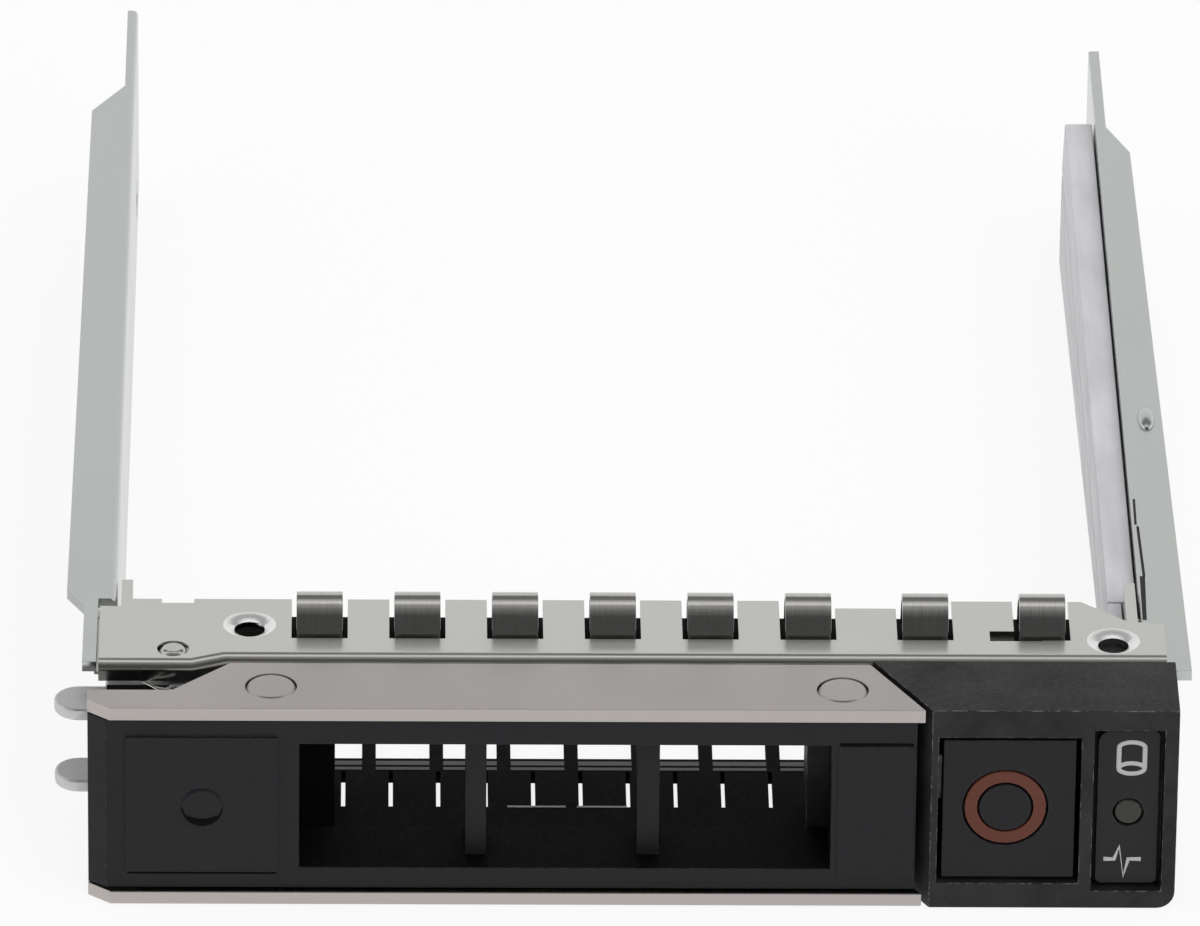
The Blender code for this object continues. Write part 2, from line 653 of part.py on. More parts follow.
def make_housing(black, tray):
    """Make the housing at the right, with the button's pocket and the panel's recess."""
    rear = CROSSBAR_FRONT - SEAT_GAP
    left = slant_x(rear)
    corner = (HOUSING_RIGHT - HOUSING_CORNER, HOUSING_CORNER)
    face = [(left, 0)] + arc(corner, HOUSING_CORNER, -90, 0)
    face += [(HOUSING_RIGHT, TRAY_HEIGHT), (left, TRAY_HEIGHT)]
    block = prism(face, 0, rear, "Y")
    inner_right = DRIVE_WIDTH / 2 - SEAT_GAP
    joined = rear - SEAT_GAP
    inner = box((HOUSING_INNER_LEFT, joined, FLOOR_TOP), (inner_right, HOUSING_REAR, INNER_TOP))
    pipe_top = PIPE_LOW + 2 * PIPE_HEIGHT + PIPE_SPACE + SEAT_GAP
    shelf_low = (inner_right - SEAT_GAP, joined, pipe_top)
    shelf_right = RIGHT_WALL - SEAT_GAP
    shelf_rear = RIGHT_TAB_FRONT - SEAT_GAP
    shelf = box(shelf_low, (shelf_right, shelf_rear, INNER_TOP))
    riser_low = (RISER_LEFT, LIP_REAR + SEAT_GAP, INNER_TOP - SEAT_GAP)
    riser = box(riser_low, (shelf_right, shelf_rear, PLATE_BOTTOM - SEAT_GAP))
    slant = [
        (left - CUT_SPARE, -CUT_SPARE), (slant_x(-CUT_SPARE), -CUT_SPARE),
        (slant_x(rear), rear), (left - CUT_SPARE, rear),
    ]
    catch_low = (left - CUT_SPARE, CATCH_FRONT - SEAT_GAP, CATCH_LOW - SEAT_GAP)
    catch_high = (POCKET_LEFT + CUT_SPARE, POCKET_DEPTH, CATCH_LOW + CATCH_HEIGHT + SEAT_GAP)
    pipe_left = RIGHT_WALL - PIPE_GAP - PIPE_THICKNESS - SEAT_GAP
    cuts = [
        prism(slant, -CUT_SPARE, TRAY_HEIGHT + CUT_SPARE),
        box((POCKET_LEFT, -CUT_SPARE, POCKET_LOW), (POCKET_RIGHT, POCKET_DEPTH, POCKET_HIGH)),
        box((RECESS_LEFT, -CUT_SPARE, RECESS_LOW), (RECESS_RIGHT, RECESS_DEPTH, RECESS_HIGH)),
        box(catch_low, catch_high),
        box((pipe_left, 0, PIPE_LOW - SEAT_GAP), (RIGHT_WALL, HOUSING_REAR + CUT_SPARE, pipe_top)),
    ]
    piece("front_housing", block, black, tray, [inner, shelf, riser], cuts)


def make_panel(dark, grey, tray):
    """Make the indicator panel in its recess, and the lens in the panel."""
    left = RECESS_LEFT + SEAT_GAP
    right = RECESS_RIGHT - SEAT_GAP
    low = RECESS_LOW + SEAT_GAP
    high = RECESS_HIGH - SEAT_GAP
    rear = RECESS_DEPTH - SEAT_GAP
    front = rear - PANEL_THICKNESS
    corner = (left + PANEL_CORNER, high - PANEL_CORNER)
    face = [(left, low), (right, low), (right, high)] + arc(corner, PANEL_CORNER, 90, 180)
    hole = rod(LENS_RADIUS + FIT_GAP, front - CUT_SPARE, rear + CUT_SPARE, (LENS_X, 0, LENS_Z), "Y")
    piece("indicator_panel", prism(face, front, rear, "Y"), dark, tray, cuts=[hole])
    lens = rod(LENS_RADIUS, front, rear, (LENS_X, 0, LENS_Z), "Y")
    piece("indicator_lens", lens, grey, tray)


def make_light_pipes(clear, tray):
    """Make the two clear bars that carry light along the right rail, the upper one with a tall rib."""
    right = RIGHT_WALL - PIPE_GAP
    left = right - PIPE_THICKNESS
    front = RECESS_DEPTH + SEAT_GAP
    lower_top = PIPE_LOW + PIPE_HEIGHT
    lower = box((left, front, PIPE_LOW), (right, PIPE_END, lower_top))
    piece("light_pipe_lower", lower, clear, tray)
    upper_low = lower_top + PIPE_SPACE
    upper_top = upper_low + PIPE_HEIGHT
    rib_front = TAB_REAR + SEAT_GAP
    upper = [
        (front, upper_low), (PIPE_END, upper_low), (PIPE_END - PIPE_END_SLANT, PIPE_RIB_TOP),
        (rib_front, PIPE_RIB_TOP), (rib_front, upper_top), (front, upper_top),
    ]
    piece("light_pipe_upper", prism(upper, left, right, "X"), clear, tray)


def lever_outline(front, inset):
    """Return the lever's plan, from its front and with its other edges drawn in."""
    depth = LEVER_DEPTH - inset
    thin = LEVER_THIN - inset
    left = LEVER_LEFT + inset
    tip = slant_x(front) - TIP_GAP - inset
    shoulder = slant_x(depth) - TIP_GAP - inset
    return [
        (LEVER_LEFT + LEVER_CHAMFER_X, front), (tip, front), (shoulder, depth),
        (LEVER_SHOULDER_END + inset, depth), (LEVER_SHOULDER_START + inset, thin),
        (left, thin), (left, LEVER_CHAMFER_Y),
    ]


def lever_rivet(x, y, extra):
    """Return a flush rivet through the lever, or with extra its hole."""
    low = LEVER_FLOOR
    high = LEVER_TOP
    head = LEVER_RIVET_HEAD_RADIUS + extra
    shank = LEVER_RIVET_RADIUS + extra
    seat = LEVER_RIVET_HEAD + extra
    profile = (
        (0, low - extra), (head, low - extra), (head, low + seat), (shank, low + seat),
        (shank, high - seat), (head, high - seat), (head, high + extra), (0, high + extra),
    )
    return turned(profile, (x, y, 0))


def bracket_plate(low, high, spare):
    """Return the shapes of one plate of the cam bracket, grown by spare all round."""
    tab_right = BRACKET_TAB_LEFT + BRACKET_TAB_WIDTH
    hook_half = HOOK_LENGTH / 2
    hook_middle = (HOOK_TIP + hook_half, HOOK_FRONT + hook_half)
    hook = arc(hook_middle, hook_half, 90, 270, steps=10)
    hook += [(BRACKET_TAB_LEFT + SHEET, HOOK_FRONT), (BRACKET_TAB_LEFT + SHEET, HOOK_FRONT + HOOK_LENGTH)]
    arm_front = HOOK_FRONT + HOOK_LENGTH / 2
    arm = [
        (BRACKET_TAB_LEFT, arm_front), (tab_right, arm_front), (PIN_X, PIN_Y - BRACKET_BOSS_RADIUS),
        (PIN_X, PIN_Y + BRACKET_BOSS_RADIUS), (BRACKET_TAB_LEFT, BRACKET_ARM_REAR),
    ]
    tab_low = (BRACKET_TAB_LEFT - spare, BRACKET_TAB_FRONT - spare, low - spare)
    tab_high = (tab_right + spare, BRACKET_ARM_REAR - SHEET, high + spare)
    boss = rod(BRACKET_BOSS_RADIUS, low, high, (PIN_X, PIN_Y, 0))
    return [box(tab_low, tab_high), prism(hook, low, high), prism(arm, low, high), boss]


def make_bracket(zinc, lever):
    """Make the cam bracket: two hooked plates on the pin, joined by a web."""
    adds = []
    for top in BRACKET_TOPS:
        adds += bracket_plate(top - BRACKET_PLATE, top, 0)
    tab_right = BRACKET_TAB_LEFT + BRACKET_TAB_WIDTH
    web_low = (BRACKET_TAB_LEFT, HOOK_FRONT, BRACKET_TOPS[1] - BRACKET_PLATE)
    web_high = (tab_right, HOOK_FRONT + BRACKET_WEB, BRACKET_TOPS[0])
    pin_hole = rod(PIN_RADIUS + PIN_GAP, 0, TRAY_HEIGHT, (PIN_X, PIN_Y, 0))
    piece("cam_bracket", box(web_low, web_high), zinc, lever, adds, [pin_hole])


def make_lever(plate_steel, black, steel, lever):
    """Make the lever's two plates, its black core between them and its two rivets."""
    plan = lever_outline(0, 0)
    levels = {
        "lever_bottom_plate": (LEVER_FLOOR, LEVER_FLOOR + LEVER_PLATE),
        "lever_top_plate": (LEVER_TOP - LEVER_PLATE, LEVER_TOP),
    }
    for name, (low, high) in levels.items():
        holes = [lever_rivet(x, y, FIT_GAP) for _, x, y in LEVER_RIVETS]
        piece(name, prism(plan, low, high), plate_steel, lever, cuts=holes)
    core = prism(lever_outline(CORE_INSET, SEAT_GAP), CORE_LOW, CORE_HIGH)
    patch_low = (PATCH_LEFT, CORE_INSET - PATCH_PROUD, PATCH_LOW)
    patch_high = (PATCH_LEFT + PATCH_WIDTH, CORE_INSET + PATCH_PROUD, PATCH_HIGH)
    pad_low = (PAD_LEFT, CORE_INSET - PAD_PROUD, PAD_LOW)
    pad_high = (PAD_RIGHT, CORE_INSET + PAD_PROUD, PAD_HIGH)
    cuts = [lever_rivet(x, y, FIT_GAP) for _, x, y in LEVER_RIVETS]
    cuts.append(box((WINDOW_LEFT, -CUT_SPARE, WINDOW_LOW), (WINDOW_RIGHT, DIVIDER_FRONT, WINDOW_HIGH)))
    left = WINDOW_LEFT
    for divider_left, divider_width in DIVIDERS + ((WINDOW_RIGHT, 0),):
        low = (left, -CUT_SPARE, WINDOW_LOW)
        high = (divider_left, LEVER_DEPTH + CUT_SPARE, WINDOW_HIGH)
        cuts.append(box(low, high))
        left = divider_left + divider_width
    for top in BRACKET_TOPS:
        slot, *others = bracket_plate(top - BRACKET_PLATE, top, FIT_GAP)
        for other in others:
            other.free()
        cuts.append(slot)
    piece("lever_core", core, black, lever, [box(patch_low, patch_high), box(pad_low, pad_high)], cuts)
    for name, x, y in LEVER_RIVETS:
        piece(name, lever_rivet(x, y, 0), steel, lever)


def ring(extra, front, rear):
    """Return the button's ring, or with extra the groove that it sits in."""
    outer = RING_RADIUS + extra
    inner = RING_RADIUS - RING_WIDTH - extra
    shape = bmesh.new()
    corners = ((inner, front), (outer, front), (outer, rear), (inner, rear))
    points = [shape.verts.new(Vector((radius, 0, height)) * MM) for radius, height in corners]
    edges = [shape.edges.new((points[number - 1], points[number])) for number in range(len(points))]
    bmesh.ops.spin(
        shape, geom=points + edges, cent=(0, 0, 0), axis=(0, 0, 1),
        angle=math.tau, steps=2 * ROUND_SIDES, use_merge=True,
    )
    bmesh.ops.remove_doubles(shape, verts=shape.verts, dist=1e-7)
    bmesh.ops.rotate(shape, cent=(0, 0, 0), matrix=Matrix.Rotation(-math.pi / 2, 3, "X"), verts=shape.verts)
    bmesh.ops.translate(shape, vec=Vector((RING_X, 0, RING_Z)) * MM, verts=shape.verts)
    bmesh.ops.recalc_face_normals(shape, faces=shape.faces)
    return shape


def make_button(black, red, bright, button, tray):
    """Make the release button, the ring let into its face and the spring behind it."""
    rear = BUTTON_REAR
    low = (POCKET_LEFT + SLIDE_GAP, BUTTON_FRONT, POCKET_LOW + SLIDE_GAP)
    high = (POCKET_RIGHT - SLIDE_GAP, rear, POCKET_HIGH - SLIDE_GAP)
    groove = ring(FIT_GAP, BUTTON_FRONT - CUT_SPARE, BUTTON_FRONT + RING_DEPTH + FIT_GAP)
    middle = (POCKET_LOW + POCKET_HIGH) / 2
    stem = rod(STEM_RADIUS, rear - SHEET, rear + STEM_LENGTH, (STEM_X, 0, middle), "Y")
    piece("release_button", box(low, high), black, button, [stem], [groove])
    piece("button_ring", ring(0, BUTTON_FRONT, BUTTON_FRONT + RING_DEPTH), red, button)
    start = rear + SEAT_GAP + BUTTON_SPRING_WIRE / 2
    length = POCKET_DEPTH - SEAT_GAP - BUTTON_SPRING_WIRE / 2 - start
    points = coil_points(
        BUTTON_SPRING_RADIUS, BUTTON_SPRING_TURNS, length / BUTTON_SPRING_TURNS, BUTTON_SPRING_WIRE
    )
    place = Matrix.Translation((STEM_X, start, middle)) @ Matrix.Rotation(-math.pi / 2, 4, "X")
    make_coil("button_spring", points, BUTTON_SPRING_WIRE, place, bright, tray)


def make_catch(zinc, catch):
    """Make the catch behind the button, which holds the lever's end."""
    nose = slant_x(CATCH_FRONT)
    plan = [(nose, CATCH_FRONT), (CATCH_RIGHT, CATCH_FRONT), (CATCH_RIGHT, CATCH_REAR), (nose, CATCH_REAR)]
    piece("lever_catch", prism(plan, CATCH_LOW, CATCH_LOW + CATCH_HEIGHT), zinc, catch)


def main():
    """Clear the scene and build the tray."""
    for old in list(bpy.data.objects):
        bpy.data.objects.remove(old)
    plated = finish("plated_steel", (0.55, 0.55, 0.53), 0.35, 1.0)
    bright = finish("bright_spring_steel", (0.75, 0.75, 0.74), 0.15, 1.0)
    satin = finish("satin_lever_plate", (0.45, 0.43, 0.41), 0.4, 1.0)
    zinc = finish("zinc_casting", (0.42, 0.43, 0.44), 0.45, 1.0)
    black = finish("black_plastic", (0.02, 0.02, 0.02), 0.55, 0.0)
    dark = finish("panel_plastic", (0.035, 0.035, 0.04), 0.4, 0.0)
    red = finish("terracotta_plastic", (0.15, 0.05, 0.035), 0.45, 0.0)
    grey = finish("lens_grey", (0.06, 0.06, 0.055), 0.3, 0.0)
    clear = finish("clear_plastic", (0.8, 0.83, 0.83), 0.12, 0.0)
    tray = empty("tray", (0, 0, 0))
    tray.location = ORIGIN
    lever = empty("lever_axis", (PIN_X, PIN_Y, 0), tray)
    button = empty("button_axis", (RING_X, BUTTON_FRONT, RING_Z), tray)
    catch = empty("catch_axis", (CATCH_RIGHT, CATCH_REAR, CATCH_LOW), tray)
    make_left_rail(plated, tray)
    make_right_rail(plated, tray)
    make_crossbar(plated, tray)
    make_base_plate(black, tray)
    make_finger_strip(bright, tray)
    make_rail_rivets(plated, tray)
    make_hinge_pin(plated, tray)
    make_lever_spring(bright, tray)
    make_housing(black, tray)
    make_panel(dark, grey, tray)
    make_light_pipes(clear, tray)
    make_bracket(zinc, lever)
    make_lever(satin, black, plated, lever)
    make_button(black, red, bright, button, tray)
    make_catch(zinc, catch)


main()
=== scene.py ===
"""Looks of an empty carrier tray for a 2.5-inch drive.

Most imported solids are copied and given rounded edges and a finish. The fingers, the springs,
the lever's rivets and the small pieces, such as symbols and marks, are modelled here. Sizes
are in millimetres on the tray's own drawing: X = 0 on the middle of the drive, Y = 0 on the
front of the lever and Z = 0 on the surface that the tray rests on.
"""

import json
import logging
import math
from dataclasses import dataclass
from enum import Enum
from typing import Callable, Optional, Sequence

import bmesh
import bpy
from mathutils import Matrix, Vector


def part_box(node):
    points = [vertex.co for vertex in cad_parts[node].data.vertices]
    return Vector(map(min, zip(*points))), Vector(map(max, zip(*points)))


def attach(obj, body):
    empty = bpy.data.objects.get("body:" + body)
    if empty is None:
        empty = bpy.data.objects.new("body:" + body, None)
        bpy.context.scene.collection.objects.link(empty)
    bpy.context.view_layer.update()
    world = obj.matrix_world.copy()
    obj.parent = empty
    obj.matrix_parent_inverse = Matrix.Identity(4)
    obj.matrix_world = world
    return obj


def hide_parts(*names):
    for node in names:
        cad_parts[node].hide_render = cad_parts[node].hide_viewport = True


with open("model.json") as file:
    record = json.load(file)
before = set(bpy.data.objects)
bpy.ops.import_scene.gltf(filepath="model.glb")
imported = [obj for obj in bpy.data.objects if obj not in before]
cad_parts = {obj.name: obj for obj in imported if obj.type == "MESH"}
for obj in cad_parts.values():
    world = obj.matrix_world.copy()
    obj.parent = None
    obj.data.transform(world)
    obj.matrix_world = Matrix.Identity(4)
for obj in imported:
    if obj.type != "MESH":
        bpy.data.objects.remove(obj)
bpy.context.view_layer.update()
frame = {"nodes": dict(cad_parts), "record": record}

MM = 0.001
WELD = 1e-6
NEAR = 0.02 * MM
FLAT_ANGLE = math.radians(0.5)
SHARP_ANGLE = math.radians(30)
SMOOTH_ANGLE = math.radians(40)
WIRE_ROUNDNESS = 4
RUBBED = "rubbed"
LEVER_LEFT = -38.0

Pair = tuple[float, float]
Point = tuple[float, float, float]
Colour = tuple[float, float, float]
Outline = Sequence[Pair]
Socket = bpy.types.NodeSocket

log = logging.getLogger("tray")


def drawing_origin() -> Vector:
    """Return where the drawing's zero point lies in the frame, in metres."""
    low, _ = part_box("lever_top_plate")
    return Vector((low.x - LEVER_LEFT * MM, low.y, 0))


ORIGIN = drawing_origin()


def at(x: float, y: float, z: float) -> Vector:
    """Return a point of the drawing in the frame's metres."""
    return ORIGIN + Vector((x, y, z)) * MM


def is_sharp(edge: bmesh.types.BMEdge) -> bool:
    """Tell whether an edge is sharp enough to be rounded."""
    return edge.calc_face_angle(0) > SHARP_ANGLE


class Body(Enum):
    """Rigid groups of the tray that move as one."""

    FRAME = "frame"
    LEVER = "lever"
    BUTTON = "button"
    CATCH = "catch"


class Axis(Enum):
    """Directions that a shape is drawn or turned along."""

    X = 0
    Y = 1
    Z = 2

    def unit(self) -> Vector:
        """Return the direction as a vector of length 1."""
        return Vector([float(number == self.value) for number in range(3)])

    def from_z(self) -> Matrix:
        """Find the turn that takes Z to this direction.

        Returns:
            The turn as a matrix of three rows.
        """
        turns = {
            Axis.X: Matrix.Rotation(math.pi / 2, 3, "Y"),
            Axis.Y: Matrix.Rotation(-math.pi / 2, 3, "X"),
            Axis.Z: Matrix.Identity(3),
        }
        return turns[self]


class Join(Enum):
    """Ways to join two patterns."""

    SUM = "ADD"
    PRODUCT = "MULTIPLY"


class Graph:
    """Node graph of one material on Object coordinates."""

    full_span: Pair = (0.0, 1.0)
    noise_span: Pair = (0.3, 0.7)
    speck_span: Pair = (0.48, 0.62)
    speck_size: float = 0.5

    def __init__(self, name: str) -> None:
        """Start a material.

        Args:
            name: name of the material.
        """
        self.material = bpy.data.materials.new(name)
        self.material.use_nodes = True
        self.tree = self.material.node_tree
        self.shader = self.tree.nodes["Principled BSDF"]
        self.place = self.node("ShaderNodeTexCoord").outputs["Object"]

    def node(self, kind: str) -> bpy.types.Node:
        """Add a node of a kind and return it."""
        return self.tree.nodes.new(kind)

    def link(self, source: Socket, target: Socket) -> None:
        """Join an output to an input."""
        self.tree.links.new(source, target)

    def set(self, socket: str, value: float) -> None:
        """Set a value that is the same all over on the shader's own socket."""
        self.shader.inputs[socket].default_value = value

    def noise(self, size: float, detail: float = 2.0, stretch: Point = (1, 1, 1)) -> Socket:
        """Add a noise pattern.

        Args:
            size: size of one blot in millimetres.
            detail: number of finer layers.
            stretch: how far a blot is drawn out along X, Y and Z.

        Returns:
            The pattern's output, from 0 to 1.
        """
        mapping = self.node("ShaderNodeMapping")
        mapping.inputs["Scale"].default_value = [1 / (size * MM * length) for length in stretch]
        texture = self.node("ShaderNodeTexNoise")
        texture.inputs["Scale"].default_value = 1.0
        texture.inputs["Detail"].default_value = detail
        self.link(self.place, mapping.inputs["Vector"])
        self.link(mapping.outputs["Vector"], texture.inputs["Vector"])
        return texture.outputs["Fac"]

    def ranged(self, source: Socket, span: Pair, low: float, high: float) -> Socket:
        """Stretch a span of a pattern to a range.

        Args:
            source: pattern to stretch.
            span: lowest and highest value of the pattern that are taken.
            low: what the span's lowest value becomes.
            high: what the span's highest value becomes.

        Returns:
            The stretched pattern's output.
        """
        made = self.node("ShaderNodeMapRange")
        for socket, value in zip(("From Min", "From Max", "To Min", "To Max"), (*span, low, high)):
            made.inputs[socket].default_value = value
        self.link(source, made.inputs["Value"])
        return made.outputs["Result"]

    def joined(self, first: Socket, second: Socket, way: Join) -> Socket:
        """Join two patterns.

        Args:
            first: first pattern.
            second: second pattern.
            way: how they are joined.

        Returns:
            The joined pattern's output.
        """
        made = self.node("ShaderNodeMath")
        made.operation = way.value
        self.link(first, made.inputs[0])
        self.link(second, made.inputs[1])
        return made.outputs["Value"]

    def mixed(self, noise: Socket, other: Socket, span: Pair, share: float) -> Socket:
        """Mix a noise pattern with another pattern.

        Args:
            noise: noise pattern, of which the usual span is taken.
            other: other pattern.
            span: lowest and highest value of the other pattern that are taken.
            share: the noise pattern's share of the mix.

        Returns:
            The mix's output, from 0 to 1.
        """
        first = self.ranged(noise, self.noise_span, 0, share)
        return self.joined(first, self.ranged(other, span, 0, 1 - share), Join.SUM)

    def colour(self, source: Socket, deep: Colour, pale: Colour) -> None:
        """Colour the surface by a pattern.

        Args:
            source: pattern from 0 to 1.
            deep: colour where the pattern is 0.
            pale: colour where the pattern is 1.
        """
        ramp = self.node("ShaderNodeValToRGB")
        for element, colour in zip(ramp.color_ramp.elements, (deep, pale)):
            element.color = (*colour, 1)
        self.link(source, ramp.inputs["Fac"])
        self.link(ramp.outputs["Color"], self.shader.inputs["Base Color"])

    def roughness(self, source: Socket, smooth: float, rough: float) -> None:
        """Vary the roughness by a noise pattern between two values."""
        self.link(self.ranged(source, self.noise_span, smooth, rough), self.shader.inputs["Roughness"])

    def bump(self, source: Socket, height: float, strength: float) -> None:
        """Raise the surface by a pattern.

        Args:
            source: pattern from 0 to 1.
            height: height of the raised places in millimetres.
            strength: how strongly they show, from 0 to 1.
        """
        made = self.node("ShaderNodeBump")
        made.inputs["Distance"].default_value = height * MM
        made.inputs["Strength"].default_value = strength
        self.link(source, made.inputs["Height"])
        self.link(made.outputs["Normal"], self.shader.inputs["Normal"])

    def rubbed_edges(self) -> Socket:
        """Add a broken pattern along the rounded edges.

        Returns:
            The pattern's output, up to 1 on rounded edges and 0 elsewhere.
        """
        edges = self.node("ShaderNodeAttribute")
        edges.attribute_name = RUBBED
        specks = self.ranged(self.noise(self.speck_size, detail=3.0), self.speck_span, 0, 1)
        return self.joined(edges.outputs["Fac"], specks, Join.PRODUCT)


@dataclass(frozen=True)
class Finish:
    """Finish of a surface: its name and how its material is built."""

    name: str

    def material(self) -> bpy.types.Material:
        """Find the finish's material, or build it when it is first asked for.

        Returns:
            The material.
        """
        found = bpy.data.materials.get(self.name)
        if found is None:
            graph = Graph(self.name)
            self.dress(graph)
            found = graph.material
        return found

    def dress(self, graph: Graph) -> None:
        """Build the finish in a node graph."""
        raise NotImplementedError(self.name)


@dataclass(frozen=True)
class PlatedSheet(Finish):
    """Plated sheet steel with faint clouds and rolling streaks."""

    pale: Colour
    deep: Colour
    smooth: float
    rough: float
    streaks: Point
    metal: float = 1.0
    cloud_size: float = 11.0
    cloud_share: float = 0.8
    streak_size: float = 0.12
    pit_size: float = 0.35
    pit_height: float = 0.004
    pit_strength: float = 0.12

    def dress(self, graph: Graph) -> None:
        """Build the metal with its clouds, streaks and fine pitting.

        Args:
            graph: node graph of the material.
        """
        clouds = graph.noise(self.cloud_size, detail=4.0)
        streaks = graph.noise(self.streak_size, stretch=self.streaks)
        tone = graph.mixed(clouds, streaks, graph.noise_span, self.cloud_share)
        graph.colour(tone, self.deep, self.pale)
        graph.roughness(clouds, self.smooth, self.rough)
        graph.bump(graph.noise(self.pit_size, detail=3.0), self.pit_height, self.pit_strength)
        graph.set("Metallic", self.metal)


@dataclass(frozen=True)
class BrightSpring(Finish):
    """Bright plated spring steel with fine rubbed lines."""

    pale: Colour
    deep: Colour
    lines: Point
    line_size: float = 0.06
    line_span: Pair = (0.35, 0.65)
    line_height: float = 0.0004
    line_strength: float = 0.15
    patch_size: float = 0.9
    smooth: float = 0.14
    rough: float = 0.2

    def dress(self, graph: Graph) -> None:
        """Build the bright metal with rubbed lines and a few duller patches.

        Args:
            graph: node graph of the material.
        """
        lines = graph.noise(self.line_size, detail=3.0, stretch=self.lines)
        graph.colour(graph.ranged(lines, self.line_span, 0, 1), self.deep, self.pale)
        graph.roughness(graph.noise(self.patch_size, detail=4.0), self.smooth, self.rough)
        graph.bump(lines, self.line_height, self.line_strength)
        graph.set("Metallic", 1.0)


@dataclass(frozen=True)
class CastZinc(Finish):
    """Satin cast zinc with a slightly uneven skin."""

    pale: Colour
    deep: Colour
    mottle_size: float = 0.7
    mottle_share: float = 0.7
    smooth: float = 0.42
    rough: float = 0.62
    skin_size: float = 0.25
    skin_height: float = 0.02
    skin_strength: float = 0.3
    metal: float = 0.9

    def dress(self, graph: Graph) -> None:
        """Build the casting's mottled skin with brighter rubbed edges.

        Args:
            graph: node graph of the material.
        """
        mottle = graph.noise(self.mottle_size, detail=4.0)
        tone = graph.mixed(mottle, graph.rubbed_edges(), graph.full_span, self.mottle_share)
        graph.colour(tone, self.deep, self.pale)
        graph.roughness(mottle, self.smooth, self.rough)
        graph.bump(graph.noise(self.skin_size, detail=3.0), self.skin_height, self.skin_strength)
        graph.set("Metallic", self.metal)


@dataclass(frozen=True)
class MouldedPlastic(Finish):
    """Moulded plastic with a spark-eroded grain and rubbed edges."""

    base: Colour
    worn: Colour
    grain: float
    grain_height: float
    smooth: float
    rough: float
    gloss: float = 0.22
    cloud_size: float = 3.0
    cloud_share: float = 0.12
    grain_strength: float = 0.6

    def dress(self, graph: Graph) -> None:
        """Build the plastic with its grain, and paler where its edges are rubbed.

        Args:
            graph: node graph of the material.
        """
        clouds = graph.noise(self.cloud_size, detail=3.0)
        tone = graph.mixed(clouds, graph.rubbed_edges(), graph.full_span, self.cloud_share)
        graph.colour(tone, self.base, self.worn)
        graph.roughness(graph.noise(self.grain * 2), self.smooth, self.rough)
        graph.bump(graph.noise(self.grain), self.grain_height, self.grain_strength)
        graph.set("Specular IOR Level", self.gloss)


@dataclass(frozen=True)
class ClearPlastic(Finish):
    """Clear moulded plastic with a faint haze."""

    pale: Colour
    haze: Colour
    flow_size: float = 0.8
    flow_stretch: Point = (1, 14, 1)
    flow_share: float = 0.4
    flow_height: float = 0.006
    flow_strength: float = 0.2
    blot_size: float = 2.6
    blot_stretch: Point = (1, 3, 1)
    blot_span: Pair = (0.3, 0.6)
    smooth: float = 0.3
    rough: float = 0.45
    clearness: float = 0.12
    refraction: float = 1.49

    def dress(self, graph: Graph) -> None:
        """Build the clear plastic with flow lines along its length.

        Args:
            graph: node graph of the material.
        """
        flow = graph.noise(self.flow_size, detail=3.0, stretch=self.flow_stretch)
        blots = graph.noise(self.blot_size, detail=3.0, stretch=self.blot_stretch)
        graph.colour(graph.mixed(flow, blots, self.blot_span, self.flow_share), self.haze, self.pale)
        graph.roughness(flow, self.smooth, self.rough)
        graph.bump(flow, self.flow_height, self.flow_strength)
        graph.set("Transmission Weight", self.clearness)
        graph.set("IOR", self.refraction)


PLATED = PlatedSheet(
    "Zinc plated sheet", pale=(0.62, 0.62, 0.593), deep=(0.586, 0.586, 0.559),
    smooth=0.18, rough=0.26, streaks=(60, 1, 1),
)
# Paler metal on the countersink cones: a painted highlight where the cones catch the light.
SUNK_HIGHLIGHT = PlatedSheet(
    "Countersink with painted highlight", pale=(0.95, 0.95, 0.94), deep=(0.88, 0.88, 0.87),
    smooth=0.22, rough=0.34, streaks=(1, 1, 1), metal=0.8,
)
COOL_PLATED = PlatedSheet(
    "Cool zinc plated sheet", pale=(0.58, 0.605, 0.587), deep=(0.539, 0.559, 0.54),
    smooth=0.22, rough=0.3, streaks=(1, 60, 1),
)
LEVER_SHEET = PlatedSheet(
    "Warm plated sheet", pale=(0.49, 0.458, 0.437), deep=(0.458, 0.428, 0.409),
    smooth=0.26, rough=0.36, streaks=(60, 1, 1),
)
BRIGHT = BrightSpring(
    "Bright spring steel", pale=(0.58, 0.57, 0.555), deep=(0.5, 0.49, 0.475), lines=(1, 30, 30),
)
ZINC = CastZinc("Cast zinc", pale=(0.76, 0.765, 0.765), deep=(0.58, 0.585, 0.585))
BLACK = MouldedPlastic(
    "Black core plastic", base=(0.0135, 0.013, 0.0155), worn=(0.028, 0.028, 0.029),
    grain=0.1, grain_height=0.003, smooth=0.42, rough=0.56,
)
# Near black for painted shade: the base plate, the faces inside the lever's windows, the sheet under the
# finger slots and the dark lines on the core. It also covers the thin sheet on the cam bracket's top.
PAINTED_SHADE_BLACK = MouldedPlastic(
    "Black plastic with painted shade", base=(0.004, 0.004, 0.0045), worn=(0.008, 0.008, 0.008),
    grain=0.15, grain_height=0.004, smooth=0.6, rough=0.75, gloss=0.05,
)
GRAINED = MouldedPlastic(
    "Black grained plastic", base=(0.014, 0.014, 0.0152), worn=(0.14, 0.14, 0.14),
    grain=0.2, grain_height=0.016, smooth=0.42, rough=0.58,
)
PANEL = MouldedPlastic(
    "Dark panel plastic", base=(0.0145, 0.0148, 0.016), worn=(0.03, 0.03, 0.03),
    grain=0.09, grain_height=0.002, smooth=0.3, rough=0.42,
)
TERRACOTTA = MouldedPlastic(
    "Red-brown plastic", base=(0.12, 0.038, 0.025), worn=(0.17, 0.065, 0.042),
    grain=0.12, grain_height=0.004, smooth=0.42, rough=0.56,
)
LENS = MouldedPlastic(
    "Grey lens plastic", base=(0.046, 0.047, 0.041), worn=(0.07, 0.07, 0.062),
    grain=0.15, grain_height=0.003, smooth=0.3, rough=0.45,
)
